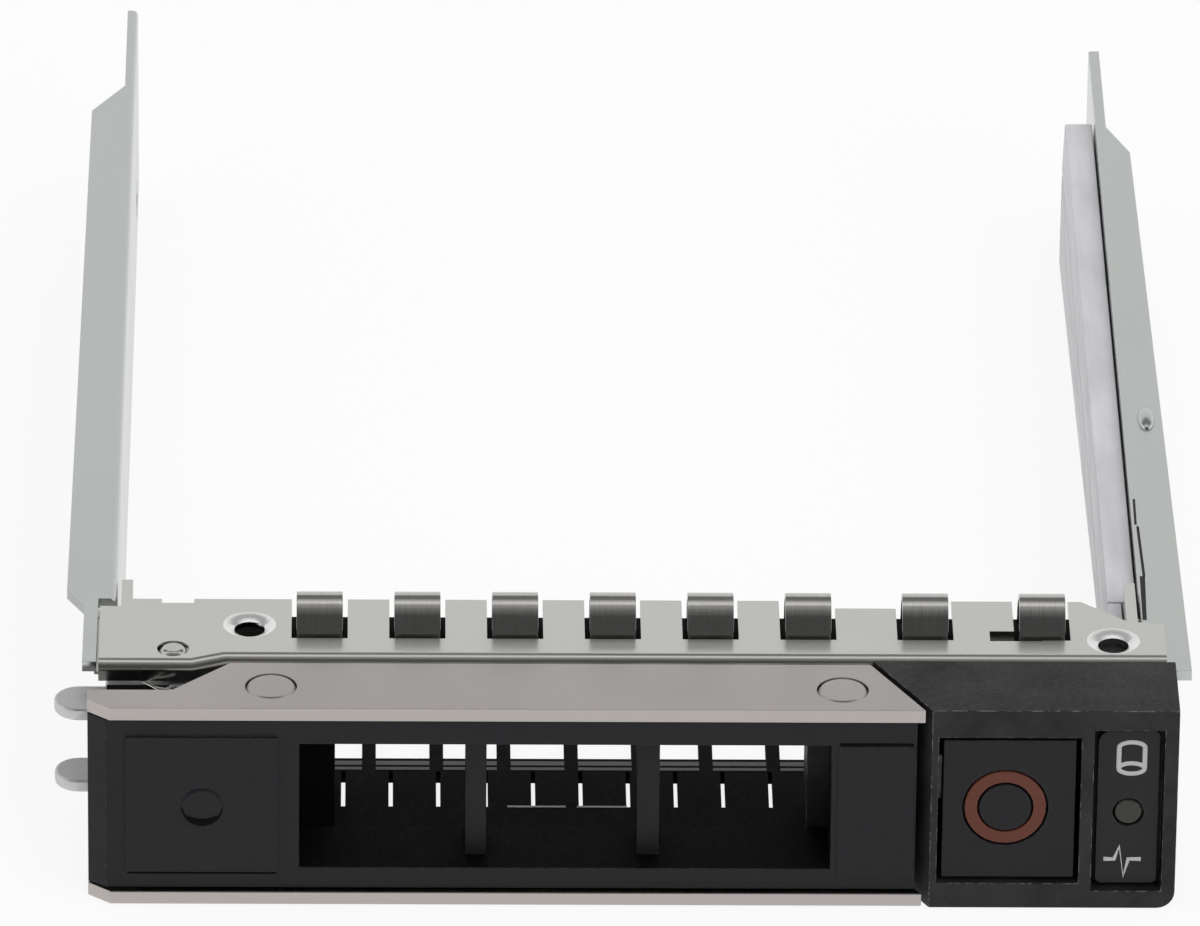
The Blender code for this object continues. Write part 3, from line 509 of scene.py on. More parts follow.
# Grey for painted reflections on the base plate between its teeth.
PAINTED_GLINT = MouldedPlastic(
    "Painted grey glint", base=(0.09, 0.09, 0.09), worn=(0.12, 0.12, 0.12),
    grain=0.2, grain_height=0.002, smooth=0.4, rough=0.5,
)
# Light grey for the print on the panel, and for painted highlights: thin lines on the base plate at the front
# of the slits.
PRINT_AND_HIGHLIGHT = MouldedPlastic(
    "Light grey print and painted highlight", base=(0.5, 0.5, 0.5), worn=(0.62, 0.62, 0.62),
    grain=0.1, grain_height=0.002, smooth=0.45, rough=0.6,
)
CLEAR = ClearPlastic("Clear light pipe", pale=(0.76, 0.76, 0.79), haze=(0.56, 0.56, 0.59))


class Shape:
    """Mesh under construction, in the frame's metres."""

    def __init__(self) -> None:
        """Start with an empty mesh."""
        self.mesh = bmesh.new()

    @classmethod
    def of_node(cls, node: str) -> "Shape":
        """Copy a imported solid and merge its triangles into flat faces.

        Args:
            node: name of the solid.

        Returns:
            The copy.
        """
        shape = cls()
        shape.mesh.from_mesh(frame["nodes"][node].data)
        bmesh.ops.remove_doubles(shape.mesh, verts=shape.mesh.verts, dist=WELD)
        shape.merge_flat()
        return shape

    @classmethod
    def prism(cls, outline: Outline, low: float, high: float, axis: Axis) -> "Shape":
        """Draw an outline across an axis and extrude it along that axis.

        Args:
            outline: corners on the two other axes, in their order.
            low: where the shape starts along the axis.
            high: where the shape ends along the axis.
            axis: direction of the extrusion.

        Returns:
            The closed shape.
        """
        shape = cls()
        corners = []
        for pair in outline:
            point = list(pair)
            point.insert(axis.value, low)
            corners.append(shape.mesh.verts.new(at(*point)))
        face = shape.mesh.faces.new(corners)
        grown = bmesh.ops.extrude_face_region(shape.mesh, geom=[face])
        moved = [item for item in grown["geom"] if isinstance(item, bmesh.types.BMVert)]
        bmesh.ops.translate(shape.mesh, vec=axis.unit() * (high - low) * MM, verts=moved)
        shape.face_outwards()
        return shape

    @classmethod
    def turned(cls, profile: Outline, centre: Point, axis: Axis = Axis.Z, sides: int = 48) -> "Shape":
        """Turn a profile about an axis.

        Args:
            profile: radius and height of each point, in millimetres.
            centre: point of the drawing that the axis goes through, at height 0.
            axis: direction of the axis.
            sides: number of sides of the full turn.

        Returns:
            The turned shape, closed where the profile starts and ends on the axis.
        """
        shape = cls()
        points = [shape.mesh.verts.new(Vector((radius, 0, height)) * MM) for radius, height in profile]
        edges = [shape.mesh.edges.new(pair) for pair in zip(points, points[1:])]
        bmesh.ops.spin(
            shape.mesh, geom=points + edges, cent=(0, 0, 0), axis=(0, 0, 1),
            angle=math.tau, steps=sides, use_merge=True,
        )
        bmesh.ops.remove_doubles(shape.mesh, verts=shape.mesh.verts, dist=WELD)
        shape.merge_flat()
        bmesh.ops.rotate(shape.mesh, cent=(0, 0, 0), matrix=axis.from_z(), verts=shape.mesh.verts)
        bmesh.ops.translate(shape.mesh, vec=at(*centre), verts=shape.mesh.verts)
        shape.face_outwards()
        return shape

    @classmethod
    def wire(cls, paths: Sequence[Sequence[Vector]], thickness: float, flat: float = 1.0) -> "Shape":
        """Draw round wire along paths.

        Args:
            paths: points of each run of wire, in the frame's metres.
            thickness: diameter of the wire in millimetres.
            flat: share of its thickness that is kept along Y, for a printed line.

        Returns:
            The wire as a closed mesh.
        """
        curve = bpy.data.curves.new("wire", "CURVE")
        curve.dimensions = "3D"
        curve.bevel_depth = thickness / 2 * MM
        curve.bevel_resolution = WIRE_ROUNDNESS
        curve.use_fill_caps = True
        for path in paths:
            line = curve.splines.new("POLY")
            line.points.add(len(path) - 1)
            for target, point in zip(line.points, path):
                target.co = (*point, 1)
        holder = bpy.data.objects.new("wire", curve)
        mesh = bpy.data.meshes.new_from_object(holder)
        shape = cls()
        shape.mesh.from_mesh(mesh)
        bpy.data.objects.remove(holder)
        bpy.data.curves.remove(curve)
        bpy.data.meshes.remove(mesh)
        if flat != 1.0:
            shape.stretch((1, flat, 1), paths[0][0])
        shape.face_outwards()
        return shape

    def merge_flat(self) -> None:
        """Merge faces that lie in one plane."""
        mesh = self.mesh
        bmesh.ops.dissolve_limit(mesh, angle_limit=FLAT_ANGLE, verts=mesh.verts, edges=mesh.edges)

    def face_outwards(self) -> None:
        """Turn every face to the outside."""
        bmesh.ops.recalc_face_normals(self.mesh, faces=self.mesh.faces)

    def stretch(self, factors: Point, centre: Vector) -> None:
        """Stretch the mesh along X, Y and Z from a centre in the frame's metres."""
        space = Matrix.Translation(-centre)
        bmesh.ops.scale(self.mesh, vec=factors, space=space, verts=self.mesh.verts)

    def draw_out(self, limit: float, reach: float) -> "Shape":
        """Move everything past a place along X further out.

        Args:
            limit: place along X that the moved part starts from.
            reach: how far it moves, and to the left if it is negative.

        Returns:
            This shape.
        """
        start = at(limit, 0, 0).x
        moved = [vert for vert in self.mesh.verts if (vert.co.x - start) * reach > 0]
        bmesh.ops.translate(self.mesh, vec=(reach * MM, 0, 0), verts=moved)
        return self

    def add(self, other: "Shape") -> "Shape":
        """Take another shape's mesh into this one.

        Args:
            other: shape that is used up.

        Returns:
            This shape.
        """
        holder = bpy.data.meshes.new("joined")
        other.mesh.to_mesh(holder)
        other.mesh.free()
        self.mesh.from_mesh(holder)
        bpy.data.meshes.remove(holder)
        return self

    def round_edges(
        self, width: float, segments: int, chosen: Callable[[bmesh.types.BMEdge], bool]
    ) -> "Shape":
        """Round some edges and mark the new faces as rubbed.

        Args:
            width: how far the rounding reaches on each face, in millimetres.
            segments: number of faces across the rounding.
            chosen: says which edges are rounded.

        Returns:
            This shape.
        """
        layers = self.mesh.faces.layers.float
        rubbed = layers.get(RUBBED)
        if rubbed is None:
            rubbed = layers.new(RUBBED)
        edges = [edge for edge in self.mesh.edges if len(edge.link_faces) == 2 and chosen(edge)]
        made = bmesh.ops.bevel(
            self.mesh, geom=edges, offset=width * MM, offset_type="OFFSET", segments=segments,
            profile=0.5, affect="EDGES", clamp_overlap=True, material=-1,
        )
        for face in made["faces"]:
            face[rubbed] = 1.0
        return self

    def round_sharp(self, width: float, segments: int = 2) -> "Shape":
        """Round every sharp edge and return this shape."""
        return self.round_edges(width, segments, is_sharp)

    def round_corner(self, x: float, z: float, width: float, segments: int = 5) -> "Shape":
        """Round the sharp edges that run along Y at one place.

        Args:
            x: place of the edges along X.
            z: place of the edges along Z.
            width: how far the rounding reaches on each face, in millimetres.
            segments: number of faces across the rounding.

        Returns:
            This shape.
        """
        corner = at(x, 0, z)

        def on_corner(edge: bmesh.types.BMEdge) -> bool:
            """Tell whether an edge is sharp and has both its ends at the place."""
            gaps = [vert.co - corner for vert in edge.verts]
            return is_sharp(edge) and all(abs(gap.x) < NEAR and abs(gap.z) < NEAR for gap in gaps)

        return self.round_edges(width, segments, on_corner)


@dataclass(frozen=True)
class Coat:
    """Second finish, on some faces of a piece."""

    finish: Finish
    covers: Callable[[bpy.types.MeshPolygon], bool]


class Workshop:
    """Turns shapes into pieces of the tray that ride on its bodies."""

    def __init__(self) -> None:
        """Read which body and which slot each solid has."""
        record = frame["record"]
        groups = record["behaviour"]["bodies"]
        self.body_of = {node: Body(body) for body, nodes in groups.items() for node in nodes}
        self.slot_of = {part["node"]: part["material_slot"] for part in record["subparts"]}

    def place(
        self, name: str, shape: Shape, finish: Finish, body: Body, slot: Optional[str] = None,
        coat: Optional[Coat] = None,
    ) -> bpy.types.Object:
        """Make a piece from a shape.

        Args:
            name: name of the piece.
            shape: its mesh, which is used up.
            finish: its finish.
            body: body that it moves with.
            slot: slot of the record that the finish belongs to, if any; not used.
            coat: second finish on some of its faces, if any.

        Returns:
            The piece.
        """
        mesh = bpy.data.meshes.new(name)
        shape.mesh.to_mesh(mesh)
        shape.mesh.free()
        if "custom_normal" in mesh.attributes:
            mesh.attributes.remove(mesh.attributes["custom_normal"])
        mesh.materials.clear()
        mesh.materials.append(finish.material())
        mesh.polygons.foreach_set("material_index", [0] * len(mesh.polygons))
        if coat:
            mesh.materials.append(coat.finish.material())
            for face in mesh.polygons:
                face.material_index = int(coat.covers(face))
        mesh.shade_smooth()
        mesh.set_sharp_from_angle(angle=SMOOTH_ANGLE)
        made = bpy.data.objects.new(name, mesh)
        bpy.context.scene.collection.objects.link(made)
        normals = made.modifiers.new("Even normals", "WEIGHTED_NORMAL")
        normals.keep_sharp = True
        normals.weight = 100
        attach(made, body.value)
        log.info("%s: %d faces on %s", name, len(mesh.polygons), body.value)
        return made

    def stand_for(self, node: str, shape: Shape, finish: Finish, coat: Optional[Coat] = None) -> None:
        """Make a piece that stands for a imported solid.

        Args:
            node: name of the solid.
            shape: the piece's mesh, which is used up.
            finish: its finish.
            coat: second finish on some of its faces, if any.
        """
        made = self.place(f"{node}_dressed", shape, finish, self.body_of[node], self.slot_of[node], coat)
        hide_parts(node)

    def dress_solid(self, node: str, finish: Finish, width: float, segments: int = 2) -> None:
        """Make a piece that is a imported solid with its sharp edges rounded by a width."""
        self.stand_for(node, Shape.of_node(node).round_sharp(width, segments), finish)


@dataclass
class Rails:
    """Left and right rails, with the rivets in them."""

    left_wall: float = -36.125
    left_top: float = 16.0
    left_bend: float = 0.45
    right_wall: float = 37.225
    right_top: float = 14.9
    right_bend: float = 0.15
    edge: float = 0.1
    rivet_edge: float = 0.22
    boss_place: Pair = (38.95, 46.4)
    boss_half_width: float = 0.65
    boss_half_length: float = 1.7
    boss_height: float = 0.5
    slit_height: float = 0.03
    # Outlines of the black inlays that paint the shade in the right flange's slits.
    slits: tuple[Outline, ...] = (
        ((37.42, 33.9), (37.6, 33.9), (37.56, 30.05), (37.38, 30.05)),
        ((37.5, 29.7), (37.7, 29.7), (37.83, 22.1), (37.63, 22.1)),
        ((37.42, 22.1), (37.8, 22.1), (37.64, 15.6), (37.34, 15.6)),
    )

    def build(self, shop: Workshop) -> None:
        """Make both rails, their rivets, the pressed boss on the right flange and the painted shade in its
        slits.

        Args:
            shop: workshop that makes the pieces.
        """
        bends = {
            "left": (self.left_wall, self.left_top, self.left_bend),
            "right": (self.right_wall, self.right_top, self.right_bend),
        }
        for side, bend in bends.items():
            rail = Shape.of_node(f"{side}_rail").round_corner(*bend).round_sharp(self.edge)
            shop.stand_for(f"{side}_rail", rail, COOL_PLATED)
        for side in bends:
            for level in ("upper", "lower"):
                shop.dress_solid(f"rail_rivet_{side}_{level}", PLATED, self.rivet_edge, segments=3)
        shop.place("right_flange_boss", self.boss(), COOL_PLATED, Body.FRAME, "plated_steel")
        # The slits' inlays are black plastic that stands in for painted shade.
        shop.place("right_flange_slit_shades", self.slit_shades(), BLACK, Body.FRAME, "black_plastic")

    def boss(self) -> Shape:
        """Model the small oval boss that is pressed up out of the right flange.

        Returns:
            The boss.
        """
        steps = 6
        profile = []
        for step in range(steps + 1):
            angle = math.pi / 2 * step / steps
            profile.append((self.boss_half_width * math.cos(angle), self.boss_height * math.sin(angle)))
        centre = (*self.boss_place, self.right_top)
        shape = Shape.turned(profile, centre, sides=32)
        shape.stretch((1, self.boss_half_length / self.boss_half_width, 1), at(*centre))
        return shape

    def slit_shades(self) -> Shape:
        """Paint the shade in the right flange's slits as thin black inlays.

        Returns:
            All slits as one shape.
        """
        low = self.right_top - self.slit_height
        high = self.right_top + self.slit_height
        shape = Shape()
        for outline in self.slits:
            shape.add(Shape.prism(outline, low, high, Axis.Z))
        return shape


@dataclass
class Crossbar:
    """Top plate over the front, the hinge pin, and the base plate below."""

    front: float = 7.6
    left_front: float = 6.7
    top: float = 16.0
    roll: float = 0.75
    roll_steps: int = 8
    strip_rear: float = 8.45
    hole_facet: float = 1.0
    seam: Outline = ((-37.6, 6.85), (-37.15, 6.85), (-37.15, 15.0), (-37.6, 15.0))
    seam_heights: Pair = (14.95, 15.17)
    edge: float = 0.08
    pin_edge: float = 0.1
    base_edge: float = 0.1
    sunk_places: tuple[Pair, ...] = ((-26.6, 12.4), (35.0, 10.4))
    sunk_radius: float = 2.0
    sunk_slopes: Pair = (0.2, 0.97)
    base_top: float = 1.0
    inlay: float = 0.03
    tooth_first: float = -27.8
    tooth_pitch: float = 4.87
    tooth_count: int = 10
    tooth_width: float = 1.0
    # Front and rear edge of each row of painted reflections.
    glint_depths: tuple[Pair, ...] = ((18.05, 18.45), (18.75, 19.35))
    # Left and right ends, and front and rear edge, of the painted highlights on the base plate.
    highlight_spans: tuple[Pair, ...] = ((-10.1, -9.75), (-8.1, -3.9), (-3.1, 0.5))
    highlight_depth: Pair = (12.58, 12.8)

    def build(self, shop: Workshop) -> None:
        """Make the crossbar with its rolled front edge, the hinge pin and the base plate.

        Args:
            shop: workshop that makes the pieces.
        """
        plate = Shape.of_node("crossbar")
        self.clear_front(plate)
        plate.round_edges(self.roll, self.roll_steps, self.on_front_edge)
        plate.round_sharp(self.edge)
        # The countersink cones get the painted highlight.
        shop.stand_for("crossbar", plate, PLATED, Coat(SUNK_HIGHLIGHT, self.in_countersink))
        shop.dress_solid("hinge_pin", BRIGHT, self.pin_edge, segments=3)
        # The base plate is black plastic drawn in the near black finish: painted shade of the tray's dark
        # inside.
        shop.dress_solid("base_plate", PAINTED_SHADE_BLACK, self.base_edge)
        seam = Shape.prism(self.seam, *self.seam_heights, Axis.Z)
        shop.place("left_seam", seam, COOL_PLATED, Body.FRAME, "plated_steel")
        shop.place("base_plate_painted_glints", self.glints(), PAINTED_GLINT, Body.FRAME)
        shop.place("base_plate_painted_highlights", self.on_base(self.highlight_spans, self.highlight_depth), PRINT_AND_HIGHLIGHT, Body.FRAME)

    def clear_front(self, plate: Shape) -> None:
        """Cut the plate behind its front edge and merge the top before the cut into one face.

        Args:
            plate: the crossbar's shape, which is changed.
        """
        mesh = plate.mesh
        everything = [*mesh.verts, *mesh.edges, *mesh.faces]
        cut = at(0, self.strip_rear, self.top)
        bmesh.ops.bisect_plane(mesh, geom=everything, dist=WELD, plane_co=cut, plane_no=(0, 1, 0))
        strip = []
        for face in mesh.faces:
            middle = face.calc_center_median()
            if abs(middle.z - cut.z) < NEAR and middle.y < cut.y:
                strip.append(face)
        bmesh.ops.dissolve_faces(mesh, faces=strip)

    def on_base(self, spans: Sequence[Pair], depth: Pair) -> Shape:
        """Model thin strips on top of the base plate.

        Args:
            spans: left and right end of each strip.
            depth: front and rear edge of all strips.

        Returns:
            All strips as one shape.
        """
        front, rear = depth
        strips = Shape()
        for left, right in spans:
            plan = ((left, front), (right, front), (right, rear), (left, rear))
            strips.add(Shape.prism(plan, self.base_top, self.base_top + self.inlay, Axis.Z))
        return strips

    def glints(self) -> Shape:
        """Model the grey strips between the teeth of the base plate, from its second tooth on, as painted
        reflections.

        Returns:
            All strips as one shape.
        """
        half = self.tooth_width / 2
        spans = []
        for number in range(1, self.tooth_count - 1):
            middle = self.tooth_first + self.tooth_pitch * number
            spans.append((middle + half, middle + self.tooth_pitch - half))
        strips = Shape()
        for depth in self.glint_depths:
            strips.add(self.on_base(spans, depth))
        return strips

    def in_countersink(self, face: bpy.types.MeshPolygon) -> bool:
        """Tell whether a face is on the cone of a countersunk hole.

        Args:
            face: face of the crossbar.

        Returns:
            True for a sloping face close to a hole's middle.
        """
        steep, flat = self.sunk_slopes
        if not steep < face.normal.z < flat:
            return False
        place = (face.center - ORIGIN) / MM
        return any(math.hypot(place.x - x, place.y - y) < self.sunk_radius for x, y in self.sunk_places)

    def on_front_edge(self, edge: bmesh.types.BMEdge) -> bool:
        """Tell whether an edge is on the top front edge of the plate.

        Args:
            edge: edge of the crossbar.

        Returns:
            True for a sharp edge at the top front that isn't a facet of a hole.
        """
        front = at(0, self.left_front, self.top)
        rear = at(0, self.front, self.top)
        on_top = all(abs(vert.co.z - front.z) < NEAR for vert in edge.verts)
        in_front = all(front.y - NEAR < vert.co.y < rear.y + NEAR for vert in edge.verts)
        in_hole = edge.calc_length() < self.hole_facet * MM
        return on_top and in_front and not in_hole and is_sharp(edge)


@dataclass
class Fingers:
    """Strip of curled contact fingers that stand out of the crossbar."""

    first: float = -21.6
    pitch: float = 6.97
    count: int = 6
    wide_pitch: float = 8.35
    wide_count: int = 2
    width: float = 3.3
    sheet: float = 0.3
    reach: float = 2.1
    rise: float = 3.15
    middle: float = 13.1
    foot: float = 14.75
    strip_front: float = 8.9
    steps: int = 40
    edge: float = 0.07
    # Outline and heights of the near black sheet under the slots: painted shade seen through them.
    slot_shade: Outline = ((-23.9, 9.0), (32.3, 9.0), (32.3, 16.5), (-23.9, 16.5))
    slot_shade_heights: Pair = (14.25, 14.4)

    def places(self) -> list[float]:
        """Work out the middle of each finger along X.

        Returns:
            The middles from left to right.
        """
        found = [self.first + self.pitch * number for number in range(self.count)]
        for _ in range(self.wide_count):
            found.append(found[-1] + self.wide_pitch)
        return found

    def finger(self, place: float) -> Shape:
        """Sweep a flat section over half a turn and stretch it to the finger's height.

        Args:
            place: middle of the finger along X.

        Returns:
            The curled finger.
        """
        shape = Shape()
        half = self.width / 2
        near = self.middle - self.reach - self.sheet / 2
        far = self.middle - self.reach + self.sheet / 2
        section = ((place - half, near), (place + half, near), (place + half, far), (place - half, far))
        corners = [shape.mesh.verts.new(at(x, y, self.foot)) for x, y in section]
        face = shape.mesh.faces.new(corners)
        centre = at(place, self.middle, self.foot)
        bmesh.ops.spin(
            shape.mesh, geom=[face, *face.edges, *corners], cent=centre, axis=(1, 0, 0),
            angle=-math.pi, steps=self.steps,
        )
        shape.stretch((1, 1, self.rise / self.reach), centre)
        shape.face_outwards()
        return shape.round_sharp(self.edge)

    def build(self, shop: Workshop) -> None:
        """Make the strip with all its fingers as one piece, and the near black sheet below it, which is
        painted shade seen through the slots.

        Args:
            shop: workshop that makes the pieces.
        """
        places = self.places()
        left = places[0] - self.width / 2
        right = places[-1] + self.width / 2
        rear = self.middle - self.reach
        plan = ((left, self.strip_front), (right, self.strip_front), (right, rear), (left, rear))
        low = self.foot - self.sheet / 2
        strip = Shape.prism(plan, low, low + self.sheet, Axis.Z).round_sharp(self.edge)
        for place in places:
            strip.add(self.finger(place))
        shop.stand_for("finger_strip", strip, BRIGHT)
        slot_shade = Shape.prism(self.slot_shade, *self.slot_shade_heights, Axis.Z)
        shop.place("finger_slot_shade", slot_shade, PAINTED_SHADE_BLACK, Body.FRAME, "black_plastic")


@dataclass
class Springs:
    """Torsion spring on the hinge pin, and the small spring behind the button."""

    pin_x: float = -32.0
    pin_y: float = 8.8
    radius: float = 1.95
    wire: float = 0.5
    turns: int = 4
    pitch: float = 0.98
    low: float = 8.84
    button_x: float = 30.0
    button_z: float = 7.9
    button_front: float = 3.5
    button_radius: float = 1.3
    button_wire: float = 0.4
    button_turns: int = 3
    button_length: float = 3.2
    turn_points: int = 28

    def coil(self, radius: float, turns: int, length: float, wire: float, place: Matrix) -> Shape:
        """Wind a coil of round wire.

        Args:
            radius: radius at the middle of the wire.
            turns: number of turns.
            length: length of the coil along its axis.
            wire: diameter of the wire.
            place: turn and place of the coil, in millimetres of the drawing.

        Returns:
            The coil as one closed tube with a short straight run at each end.
        """
        count = turns * self.turn_points
        points = []
        for step in range(count + 1):
            angle = math.tau * step / self.turn_points
            points.append(Vector((radius * math.cos(angle), radius * math.sin(angle), length * step / count)))
        points.insert(0, points[0] + Vector((0, -wire, 0)))
        points.append(points[-1] + Vector((0, wire, 0)))
        return Shape.wire([[at(*(place @ point)) for point in points]], wire)

    def build(self, shop: Workshop) -> None:
        """Make both springs.

        Args:
            shop: workshop that makes the pieces.
        """
        length = self.turns * self.pitch
        upright = Matrix.Translation((self.pin_x, self.pin_y, self.low))
        coil = self.coil(self.radius, self.turns, length, self.wire, upright)
        shop.stand_for("lever_spring", coil, BRIGHT)
        flat = Matrix.Translation((self.button_x, self.button_front, self.button_z))
        flat = flat @ Matrix.Rotation(-math.pi / 2, 4, "X")
        coil = self.coil(self.button_radius, self.button_turns, self.button_length, self.button_wire, flat)
        shop.stand_for("button_spring", coil, BRIGHT)


@dataclass
class Lever:
    """Swing lever: two plates, black core, rivets and the cam bracket with its hooks."""

    plate_edge: float = 0.14
    core_edge: float = 0.16
    bracket_edge: float = 0.22
    rivet_places: tuple[tuple[str, float, float], ...] = (
        ("lever_rivet_left", -25.0, 3.3), ("lever_rivet_right", 15.5, 3.0),
    )
    rivet_radius: float = 1.76
    rivet_shank: float = 0.5
    rivet_head: float = 0.55
    rivet_groove: float = 0.16
    low: float = 0.1
    high: float = 16.0
    mark_place: Pair = (-29.86, 7.9)
    mark_radius: float = 1.45
    mark_height: float = 0.16
    patch_front: float = 0.2
    crescent_inner: float = 0.66
    core_front: float = 0.4
    core_end: float = -36.0
    core_reach: float = 0.28
    inlay: float = 0.02
    # Painted shade in the grooves beside the patch and the pad: left, low, right and high end of each line.
    grooves: tuple[tuple[float, float, float, float], ...] = (
        (-35.2, 2.35, -24.6, 2.6), (15.3, 12.9, 20.5, 13.12),
    )
    window: tuple[float, float, float, float] = (-23.0, 2.9, 14.75, 12.9)
    window_front: float = 0.6
    window_play: float = 0.05
    bracket_top: float = 14.2
    skin: Outline = ((-36.7, 2.8), (-34.3, 2.8), (-34.3, 4.8), (-32.2, 6.6), (-36.7, 6.6))
    skin_height: float = 0.04
    leg_wire: float = 0.2
    legs: tuple[Outline, ...] = (
        ((-34.2, 6.85), (-33.6, 6.3), (-32.9, 5.5), (-32.4, 4.9)),
        ((-33.5, 6.2), (-33.0, 5.95), (-32.3, 5.75), (-31.7, 5.4)),
    )

    def build(self, shop: Workshop) -> None:
        """Make the plates, core, bracket and rivets, and the small pieces that they carry.

        Args:
            shop: workshop that makes the pieces.
        """
        for node in ("lever_top_plate", "lever_bottom_plate"):
            shop.dress_solid(node, LEVER_SHEET, self.plate_edge, segments=3)
        core = Shape.of_node("lever_core").draw_out(self.core_end, -self.core_reach)
        # The faces inside the windows get the near black finish as painted shade.
        shop.stand_for("lever_core", core.round_sharp(self.core_edge), BLACK, Coat(PAINTED_SHADE_BLACK, self.in_window))
        shop.dress_solid("cam_bracket", ZINC, self.bracket_edge, segments=3)
        for node, x, y in self.rivet_places:
            shop.stand_for(node, self.rivet(x, y), LEVER_SHEET)
        shop.place("core_round_mark", self.mark(), BLACK, Body.LEVER, "black_plastic")
        # Near black inlays on the core that paint the shade in its crescent and grooves.
        shop.place("core_painted_shade", self.painted_shade_lines(), PAINTED_SHADE_BLACK, Body.LEVER, "black_plastic")
        top = self.bracket_top + self.skin_height
        shop.place("bracket_skin", Shape.prism(self.skin, self.bracket_top, top, Axis.Z), PAINTED_SHADE_BLACK, Body.LEVER)
        legs = [[at(x, y, top + self.leg_wire / 2) for x, y in leg] for leg in self.legs]
        shop.place("spring_legs", Shape.wire(legs, self.leg_wire), BRIGHT, Body.LEVER, "bright_steel")

    def in_window(self, face: bpy.types.MeshPolygon) -> bool:
        """Tell whether a face of the core lies inside the windows, where it gets painted shade.

        Args:
            face: face of the core.

        Returns:
            True for a face behind the front that doesn't look forwards.
        """
        forwards = -0.5
        play = self.window_play
        x, y, z = (face.center - ORIGIN) / MM
        left, low, right, high = self.window
        within = left - play < x < right + play and low - play < z < high + play
        return within and y > self.window_front and face.normal.y > forwards

    def painted_shade_lines(self) -> Shape:
        """Model painted shade as thin near black inlays: a crescent on the round mark and lines in the
        grooves beside the patch and the pad.

        Returns:
            All dark lines as one shape.
        """
        steps = 20
        x, z = self.mark_place
        outer = []
        inner = []
        for step in range(steps + 1):
            angle = math.pi * (1 + step / steps)
            across = x + self.mark_radius * math.cos(angle)
            down = self.mark_radius * math.sin(angle)
            outer.append((across, z + down))
            inner.append((across, z + down * self.crescent_inner))
        outline = outer + inner[-2:0:-1]
        front = self.patch_front - self.mark_height - self.inlay
        lines = Shape.prism(outline, front, self.patch_front, Axis.Y)
        for left, low, right, high in self.grooves:
            plan = ((left, low), (right, low), (right, high), (left, high))
            lines.add(Shape.prism(plan, self.core_front - self.inlay, self.core_front + self.inlay, Axis.Y))
        return lines

    def rivet(self, x: float, y: float) -> Shape:
        """Turn a flush rivet with a groove round each of its two heads.

        Args:
            x: place of its middle along X.
            y: place of its middle along Y.

        Returns:
            The rivet.
        """
        rim = self.rivet_radius - self.rivet_groove
        high_seat = self.high - self.rivet_head
        low_seat = self.low + self.rivet_head
        profile = (
            (0, self.low), (rim, self.low), (self.rivet_radius, self.low + self.rivet_groove),
            (self.rivet_radius, low_seat), (self.rivet_shank, low_seat), (self.rivet_shank, high_seat),
            (self.rivet_radius, high_seat), (self.rivet_radius, self.high - self.rivet_groove),
            (rim, self.high), (0, self.high),
        )
        return Shape.turned(profile, (x, y, 0))

    def mark(self) -> Shape:
        """Turn the shallow round mark that stands on the core's square patch.

        Returns:
            The mark.
        """
        rim = self.mark_radius - self.mark_height
        dip = self.mark_height / 2
        profile = (
            (self.mark_radius, 0), (self.mark_radius, -dip), (rim, -self.mark_height),
            (rim - self.mark_height, dip - self.mark_height), (0, dip - self.mark_height),
        )
        x, z = self.mark_place
        return Shape.turned(profile, (x, self.patch_front, z), Axis.Y)


